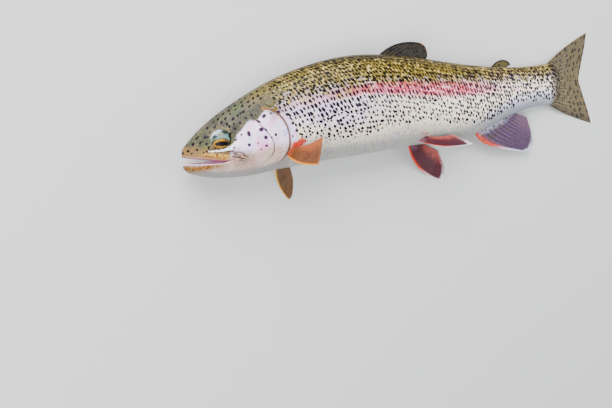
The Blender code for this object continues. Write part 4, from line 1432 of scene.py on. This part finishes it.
def paintCheek(on):
    # cheeks, throat and the bare skin behind the gills
    drift = on.at.noise(160.0, 1.0, "Color").scaled((0.010, 0.010, 0.0))
    swirl = on.at.shifted(drift).noise(150.0, 4.0, roughness=0.6)
    cheek = paintFrom(on, "cheek").lay((on.wide * 0.6 + swirl * 0.5).ramp(0.50, 0.68), "cheekPink")
    cheek.lay((on.broad * 0.7 + (1.0 - swirl) * 0.4).ramp(0.54, 0.70) * 0.75, "cheekBlue")
    cheek.lay(swirl.ramp(0.60, 0.72) * 0.55, "white")
    cheek.lay(on.fine.ramp(0.52, 0.66) * 0.38, "lilac")
    cheek.lay(on.fine.ramp(0.46, 0.34) * 0.30, "cheekPink")
    cream = on.under.larger(on.low.ramp(0.4, -1.8) * 0.9) * 0.95
    cheek.lay(cream.held() * (on.fine * 0.7 + on.broad * 0.8).ramp(0.30, 0.80) * 0.92, "cheekCream")
    # painted shade: the underside of the head is laid the dark throat grey
    cheek.lay(on.under.ramp(0.30, 0.9) * (on.broad * 0.5 + 0.6), "throat")
    streaks = on.wire.vector(on.along * 90.0, on.arc * 1100.0, 0.0).noise(1.0, 3.0)
    return cheek.lay(cream * streaks.ramp(0.52, 0.66) * 0.42, "brown")


def paintBack(on):
    # olive scales, darker on the ridge, with painted glints: fine pale gold specks and paler scales stand in
    # for light off the scales
    olive = paintFrom(on, "oliveDark")
    olive.lay(on.tone.ramp(0.10, 0.60).larger(on.bare.ramp(-2.6, -0.4)), "olive")
    # painted glints: fine specks and the brightest scales laid pale gold, then paler scales over the back
    # behind the nape
    light = (on.specks * 0.66 + on.tone.ramp(0.70, 0.97) * 0.55).held()
    olive.lay(light * on.bare.ramp(0.3, -3.0), "paleOliveAndGlint")
    olive.lay(on.along.ramp(0.24, 0.31) * on.tone.ramp(0.2, 0.8) * 0.55, "paleOliveAndGlint")
    return olive.lay(on.back.ramp(3.6, 6.0) * 0.75, "ridge")


def paintCrown(on, olive):
    # the bare top of the head, tan on the snout and olive towards the nape
    crown = paintFrom(on, "headTop").lay(on.broad.ramp(0.35, 0.65), "headDark")
    crown.lay(on.wide.ramp(0.50, 0.66) * 0.7, "headGreen")
    nape = on.back.ramp(1.5, 4.5) * on.bare.ramp(4.0, 0.2)
    # pale olive flecks on the crown, and painted glints in the nape's specks
    crown.lay(on.fine.ramp(0.58, 0.74) * 0.30 + on.specks * nape * 0.45, "paleOliveAndGlint")
    crown.lay(nape * 0.5, olive)
    snout = (on.lip + (on.broad - 0.5) * 4.0 + (on.fine - 0.5) * 1.6).ramp(3.2, 1.3) * (1.0 - on.pastSnout)
    crown.lay(snout * (on.broad * 1.1 + 0.08), "tan")
    crown.lay(snout * on.at.noise(330.0, 3.0).ramp(0.52, 0.66) * 0.55, "rim")
    # painted highlight: a pale tan band on the rim over the eye
    return crown.lay(on.brow * on.fine.ramp(0.40, 0.65) * 0.5, "tan")


def paintFace(on, skin):
    across, length = (on.along * 0.75 + on.arc * 0.65) * 260.0, (on.arc - on.along) * 900.0
    streaks = on.wire.vector(across, length, 0.0).noise(1.0, 3.0)
    skin.lay((on.brown * (streaks.ramp(0.40, 0.54) * 0.65 + 0.42)).held() * 0.92, "brown")
    skin.lay((on.brown * streaks.ramp(0.56, 0.66)).held() * 0.8, "crease")
    skin.lay(on.jaw * (on.patchy * 1.2 + 0.45), "ochre")
    skin.lay(on.jaw * on.patchy.ramp(0.54, 0.66) * 0.8, "jawInk")
    gold = paintFrom(on, "gold").lay(on.patchy.ramp(0.40, 0.60), "goldPale")
    gold.lay(on.fine.ramp(0.56, 0.68) * 0.7, "brown")
    skin.lay((on.bone + on.ripple * 2.4).ramp(-0.22, 0.24) * 0.85, gold)
    skin.lay((on.slip + (on.patchy - 0.5) * 0.5 + on.ripple * 0.5).ramp(-0.06, 0.06) * 0.95, "white")
    skin.lay((on.lip + on.ripple * 1.2).ramp(0.50, 0.16) * on.along.ramp(0.032, 0.012, 0.25, 0.80), "lipPink")
    # a dark maroon line along the upper lip's edge: partly the lip's own colour, partly painted shade over the
    # mouth's gap
    skin.lay((on.lip + on.ripple * 0.4).ramp(0.16, 0.04) * 0.90, "upperLipAndShade")
    skin.lay((on.folds + on.ripple).ramp(0.17, 0.05) * 0.92, "crease")
    skin.lay(on.crease.ramp(0.19, 0.06) * 0.92, "crease")
    rim = paintFrom(on, "rim").lay((on.patchy + on.back * 0.2).ramp(0.40, 0.60), "tan")
    skin.lay((on.rim + on.ripple * 0.5).ramp(0.42, 0.18) * 0.95, rim)
    # painted shadow: a thin dark line along the gill cover's rim, where the cover stands over the body behind
    # it
    skin.lay((on.rim + on.ripple * 0.3).ramp(0.13, 0.04) * 0.8, "crease")
    blush = on.blush + (on.broad - 0.5) * 1.1 + (on.patchy - 0.5) * 1.1 + on.ripple * 1.5
    skin.lay(blush.ramp(-0.10, 0.40) * 0.96, "blush")


def paintMarks(on, skin):
    # rows of marks that overlap less towards the tail, then the single spots; returns where there is ink
    shake = on.at.noise(420.0, 1.0, "Color").shifted((-0.5, -0.5, -0.5)).scaled((0.0014, 0.0010, 0.0))
    at = on.at.shifted(shake)
    scaled = (on.bare.ramp(0.10, -0.35) * on.body).held() * on.along.ramp(0.23, 0.30, 1.0, 1.12)
    apart = on.along.ramp(0.17, 0.27, 0.0, 0.45)
    size = on.along.ramp(0.075, 0.120, 0.78, 0.95) * on.along.ramp(0.20, 0.30, 1.0, 1.22)
    size = size * (1.0 - on.stripe * 0.14)
    density = {
        "upper": scaled * (on.back - apart).ramp(-1.6, 0.6) * 1.22,
        "middle": scaled * (on.back + apart).ramp(1.2, -0.6) * on.large.ramp(-0.8, 0.4) * 1.22,
        "lower": scaled * on.large.ramp(0.5, -0.7) * on.low.ramp(-1.2, 1.2) * 1.12,
    }
    onCrown = on.head * on.back.ramp(1.6, 2.4) * (1.0 - on.brow) * on.along.ramp(0.016, 0.045, 0.55, 0.97)
    marks = rowMarks(on.wire, at, "crown", onCrown)
    for kind, share in density.items():
        marks = marks.larger(rowMarks(on.wire, at, kind, share, size))
    onCheek = (on.cheekInk + on.ripple * 0.9).ramp(-0.06, 0.12)
    onSnout = (on.snoutInk + on.ripple).ramp(-0.06, 0.12)
    dark = (on.back - on.along.ramp(0.22, 0.30, 0.0, 3.0)).ramp(-2.0, 1.0)
    skin.lay(marks, paintFrom(on, "purpleInk").lay(dark, "ink"))
    skin.lay(onCheek * 0.98, paintFrom(on, "ink").lay(on.bare.ramp(-0.1, 0.1), "cheekInk"))
    skin.lay(onSnout * 0.96, "purpleInk")
    skin.lay((on.jawInk + on.ripple * 1.5).ramp(-0.10, 0.30) * 0.85, "jawInk")
    return marks.larger(onCheek).larger(onSnout)


def fishMaterial():
    constants = {"Coat Roughness": 0.20, "Coat IOR": 1.33, "Specular IOR Level": 0.08}
    made, wire, shader = newMaterial("trout_skin_and_scales", constants)
    on = readBody(wire)
    skin = paintFlank(on)
    skin.lay((on.stripe * (on.broad * 0.9 + 0.55)).held() * 0.92, paintStripe(on))
    skin.lay((on.bare + on.ripple).ramp(-0.25, 0.25), paintCheek(on))
    uneven = (on.broad - 0.5) * 1.5
    softBack = on.back * on.along.ramp(0.13, 0.18, 0.24, 0.42) + uneven + (on.tone - 0.5) * 0.75
    softBack = (softBack + on.along.ramp(0.12, 0.19, 0.85, 0.60)).ramp(0.0, 1.0)
    overBack = softBack * on.body + (on.back + on.ripple * 3.2).ramp(-0.26, 0.30) * on.head
    olive = paintBack(on)
    skin.lay(overBack, paintFrom(on, olive).lay(on.head, paintCrown(on, olive)))
    paintFace(on, skin)
    tail = paintFrom(on, "tailWeb").lay(on.fine, "tailRay")
    skin.lay((on.tail + (on.tone - 0.5) * 0.4).ramp(0.15, 0.85), tail)
    ink = paintMarks(on, skin)
    edgeShade = on.rimmed.ramp(0.60, 0.98) * (overBack * 0.16 + 0.32).held()
    skin.shade((on.tone - 0.5) * 0.12 + (on.grain - 0.5) * 0.22 + 1.02 - edgeShade)
    # the lining: dark maroon by the upper lip, partly painted shade; white by the lower lip; deeper in a paler
    # pink that is painted light against the mouth's shade
    lining = paintFrom(on, "upperLipAndShade").lay(on.lowerMouth, "lowerLip").lay(on.mouth.ramp(0.35, 1.0), "mouth")
    skin.lay(on.mouth.ramp(0.05, 0.30), lining)
    silver = ((1.0 - overBack) * (1.0 - on.under * 0.6) * (1.0 - ink)).held() * on.body
    height = on.at.noise(1500.0, 3.0) * 0.5 + on.fine * 0.5
    connect(wire, shader, {
        "Base Color": skin.colour,
        "Roughness": (on.grain - 0.5) * 0.2 + 0.40 - silver * 0.08 + on.tone * 0.06,
        "Metallic": silver * 0.20,
        "Coat Weight": (silver * 0.22 + 0.16) * (1.0 - ink * 0.8),
        "Normal": wire.node("ShaderNodeBump", None, {"Strength": 0.22, "Distance": 0.0003, "Height": height}),
    })
    return made


finLooks = {
    "dorsal": {
        "web": (12, 11, 10), "ray": (50, 45, 37), "lead": (32, 28, 22), "tip": (176, 92, 44),
        "base": (86, 74, 34), "trail": (22, 20, 18), "ink": (6, 5, 5), "spots": 0.85, "edge": 0.93,
    },
    "adipose": {
        "web": (62, 54, 16), "ray": (96, 84, 34), "lead": (16, 14, 10), "tip": (10, 9, 7),
        "base": (80, 68, 16), "trail": (40, 34, 18), "ink": (4, 4, 4), "spots": 1.3, "edge": 0.62,
    },
    "tail": {
        "web": (58, 51, 33), "ray": (108, 95, 64), "lead": (66, 57, 38), "tip": (96, 62, 44),
        "base": (108, 98, 70), "trail": (76, 66, 44), "ink": (8, 7, 8), "spots": 0.95, "edge": 0.93,
    },
    "violet": {
        "web": (82, 56, 86), "ray": (46, 30, 52), "lead": (196, 58, 26), "tip": (226, 226, 244),
        "base": (166, 168, 190), "trail": (100, 70, 92), "ink": (64, 52, 24), "spots": 0.60, "edge": 0.93,
    },
    "mauve": {
        "web": (90, 40, 48), "ray": (50, 24, 34), "lead": (212, 56, 18), "tip": (236, 226, 228),
        "base": (120, 92, 104), "trail": (176, 78, 66), "ink": (60, 50, 40), "spots": 0.0, "edge": 0.90,
    },
    "amber": {
        "web": (128, 76, 42), "ray": (50, 28, 18), "lead": (214, 134, 14), "tip": (142, 92, 60),
        "base": (196, 74, 40), "trail": (172, 88, 46), "ink": (60, 40, 30), "spots": 0.0, "edge": 0.95,
    },
    "umber": {
        "web": (114, 82, 54), "ray": (58, 39, 29), "lead": (222, 156, 10), "tip": (118, 84, 62),
        "base": (134, 100, 78), "trail": (112, 78, 56), "ink": (60, 40, 30), "spots": 0.0, "edge": 0.95,
    },
}


def finMaterial(look):
    tones = finLooks[look]
    constants = {"Coat Roughness": 0.20, "Coat Weight": 0.2, "Coat IOR": 1.35, "Specular IOR Level": 0.10}
    made, wire, shader = newMaterial("trout_fin_" + look, constants)
    across, reach, ridge = wire.attribute("finPlace").parts()
    at = wire.attribute("flankPlace")
    mottle = at.noise(260.0, 3.0)
    fine = at.noise(1400.0, 1.0)
    joints = wire.vector(across * 14.0, reach * 60.0, 0.0).noise(1.0, 2.0)
    onRay = ridge.ramp(0.15, 0.75) * 0.70 + (mottle - 0.5) * 0.9 + joints.ramp(0.40, 0.60) * 0.55 - 0.15
    skin = Paint(wire, tones, "web").lay(onRay, "ray")
    trail = (across + (mottle - 0.5) * 0.5).ramp(0.55, 0.95) * reach.ramp(0.15, 0.45)
    skin.lay(trail * ridge.ramp(0.9, 0.3, 0.35, 0.85), "trail")
    tip = (reach + (mottle - 0.5) * 0.08).ramp(tones["edge"], tones["edge"] * 0.3 + 0.7)
    skin.lay(tip * (0.95 if look == "adipose" else across.ramp(0.8, 0.1) * 0.75 + 0.10), "tip")
    skin.lay((reach + (mottle - 0.5) * 0.15).ramp(0.22, 0.02) * 0.8, "base")
    lead = Paint(wire, tones, "lead")
    if look in ("violet", "mauve"):  # the coloured leading ray pales towards its tip
        lead.lay(reach.ramp(0.50, 0.85), "tip")
    skin.lay(across.ramp(0.12, 0.02) * (mottle * 0.6 + 0.65), lead)
    if tones["spots"]:
        rows = wire.vector(across * 0.055, reach * 0.048, 0.0) if look == "tail" else at
        density = reach.ramp(-0.10, 0.06) * tones["spots"]
        if look == "violet":  # spotted near the root alone
            density = density * reach.ramp(0.55, 0.30)
        skin.lay(rowMarks(wire, rows, "fin", density) * 0.92, "ink")
    skin.shade((fine - 0.5) * 0.25 + 1.0)
    height = ridge * 0.6 + mottle * 0.4
    bump = wire.node("ShaderNodeBump", None, {"Strength": 0.3, "Distance": 0.0003, "Height": height})
    connect(wire, shader, {"Base Color": skin.colour, "Roughness": mottle * 0.2 + 0.38, "Normal": bump})
    return made


eyeColours = {
    "pupil": (4, 4, 8),
    "gold": (140, 88, 0),
    "goldLight": (206, 150, 0),
    # the ball's blue-grey and its pale upper front are partly painted reflection of the sky on the cornea
    "dome": (92, 120, 120),
    "domeReflection": (186, 212, 226),
    "green": (70, 84, 44),
    "blot": (16, 18, 30),
    "rim": (44, 38, 30),
}
# Patches in eye radii from the middle of the ball, tailwards and up: middle, half sizes, lean
eyeMarks = {
    "blots": (
        (-0.42, 0.30, 0.24, 0.16, 0.0), (0.56, 0.48, 0.36, 0.17, -0.6), (-0.72, -0.28, 0.16, 0.26, 0.0),
        (0.88, 0.0, 0.12, 0.30, 0.0),
    ),
    "green": ((-0.62, 0.02, 0.22, 0.34, 0.0), (0.20, 0.36, 0.40, 0.22, 0.0)),
    "pupil": (0.02, -0.49, 0.61, 0.20, -0.20),
    "gold": (-0.02, -0.44, 0.78, 0.40, -0.12),
}


def eyeMaterial():
    constants = {"Coat Roughness": 0.06, "Coat IOR": 1.36, "Roughness": 0.5, "Specular IOR Level": 0.10}
    made, wire, shader = newMaterial("trout_eye", constants)
    at = wire.attribute("gaze")
    x, y, _ = at.parts()
    mottle = at.noise(4.0, 4.0)
    fine = at.noise(20.0, 3.0)

    def within(shape, waver=0.0):
        # distance from the middle of a leaning oval, 1 on its edge
        centreX, centreY, halfX, halfY, lean = shape
        dx, dy = x - centreX, y - centreY
        u = (dx * math.cos(lean) + dy * math.sin(lean)) / halfX
        v = (dy * math.cos(lean) - dx * math.sin(lean)) / halfY
        return (u * u + v * v).root() + (fine - 0.5) * waver

    # painted reflection: the ball's blue-grey ground is partly the sky's reflection on the cornea, over the
    # iris's green and blots
    ball = Paint(wire, eyeColours, "dome")
    # painted reflection: pale blue over the upper front of the ball
    ball.lay((y - x * 0.5 + (mottle - 0.5) * 0.5).ramp(0.25, 0.90), "domeReflection")
    ball.lay(mottle.ramp(0.48, 0.62) * 0.6, "green")
    for patch in eyeMarks["green"]:
        ball.lay(within(patch, 0.8).ramp(1.2, 0.6) * 0.8, "green")
    for blot in eyeMarks["blots"]:
        ball.lay(within(blot, 0.6).ramp(1.15, 0.65) * 0.9, "blot")
    gold = Paint(wire, eyeColours, "gold").lay(fine.ramp(0.45, 0.62), "goldLight")
    gold.lay(at.noise(11.0, 3.0).ramp(0.54, 0.64) * 0.8, "rim")
    gold.lay((x + (fine - 0.5) * 0.8).ramp(0.10, 0.55) * 0.85, "rim")
    ball.lay(within(eyeMarks["gold"], 0.6).ramp(1.14, 1.04), "rim")
    ball.lay(within(eyeMarks["gold"], 0.6).ramp(1.04, 0.94), gold)
    ball.lay(within(eyeMarks["pupil"], 0.5).ramp(1.16, 1.04), "rim")
    ball.lay(within(eyeMarks["pupil"], 0.4).ramp(1.04, 0.96), "pupil")
    ball.lay((x * x + y * y).root().ramp(0.84, 0.92), "rim")
    dark = within(eyeMarks["gold"]).ramp(1.1, 0.9)
    connect(wire, shader, {"Base Color": ball.colour, "Coat Weight": 0.75 - dark * 0.66})
    return made


tongueColours = {"deep": (236, 172, 208), "pale": (252, 214, 236)}


def tongueMaterial():
    constants = {"Coat Weight": 0.6, "Coat Roughness": 0.15, "Roughness": 0.45}
    made, wire, shader = newMaterial("trout_tongue", constants)
    mottle = wire.node("ShaderNodeTexCoord", None, None, "Object").noise(500.0, 3.0)
    connect(wire, shader, {"Base Color": Paint(wire, tongueColours, "deep").lay(mottle, "pale").colour})
    return made


fishSkin = fishMaterial()
for piece in (skinPiece, *coatPieces):
    piece.data.materials.append(fishSkin)
finSkins = {look: finMaterial(look) for look in finLooks}
for name, piece in finPieces.items():
    piece.data.materials.append(finSkins[fins[name]["look"]])
eyeSkin = eyeMaterial()
for piece in eyePieces:
    piece.data.materials.append(eyeSkin)
tonguePiece.data.materials.append(tongueMaterial())
print("materials")

studio = {
    "floor": 6.0,
    "floorTone": (196, 197, 196),
    "worldTone": (206, 212, 222),
    "worldStrength": 0.60,
    "lights": (  # place, metres wide, watts
        ((-0.25, 1.20, 0.95), 1.2, 58.0),
        ((-0.95, -0.30, 1.00), 1.0, 25.0),
        ((1.10, -0.15, 0.80), 0.9, 13.0),
    ),
}


def addStudio():
    bpy.ops.mesh.primitive_plane_add(size=studio["floor"])
    floor = bpy.context.object
    floor.name = "floor"
    matt, _, _ = newMaterial("studio_floor", {"Roughness": 0.8, "Base Color": tint(studio["floorTone"])})
    floor.data.materials.append(matt)
    for at, size, power in studio["lights"]:
        bpy.ops.object.light_add(type="AREA", location=at)
        light = bpy.context.object
        light.data.size = size
        light.data.energy = power
        light.rotation_euler = (-Vector(at)).to_track_quat("-Z", "Y").to_euler()
    world = bpy.data.worlds.new("studio")
    world.use_nodes = True
    background = world.node_tree.nodes["Background"]
    background.inputs["Color"].default_value = tint(studio["worldTone"])
    background.inputs["Strength"].default_value = studio["worldStrength"]
    bpy.context.scene.world = world


addStudio()
print("studio")
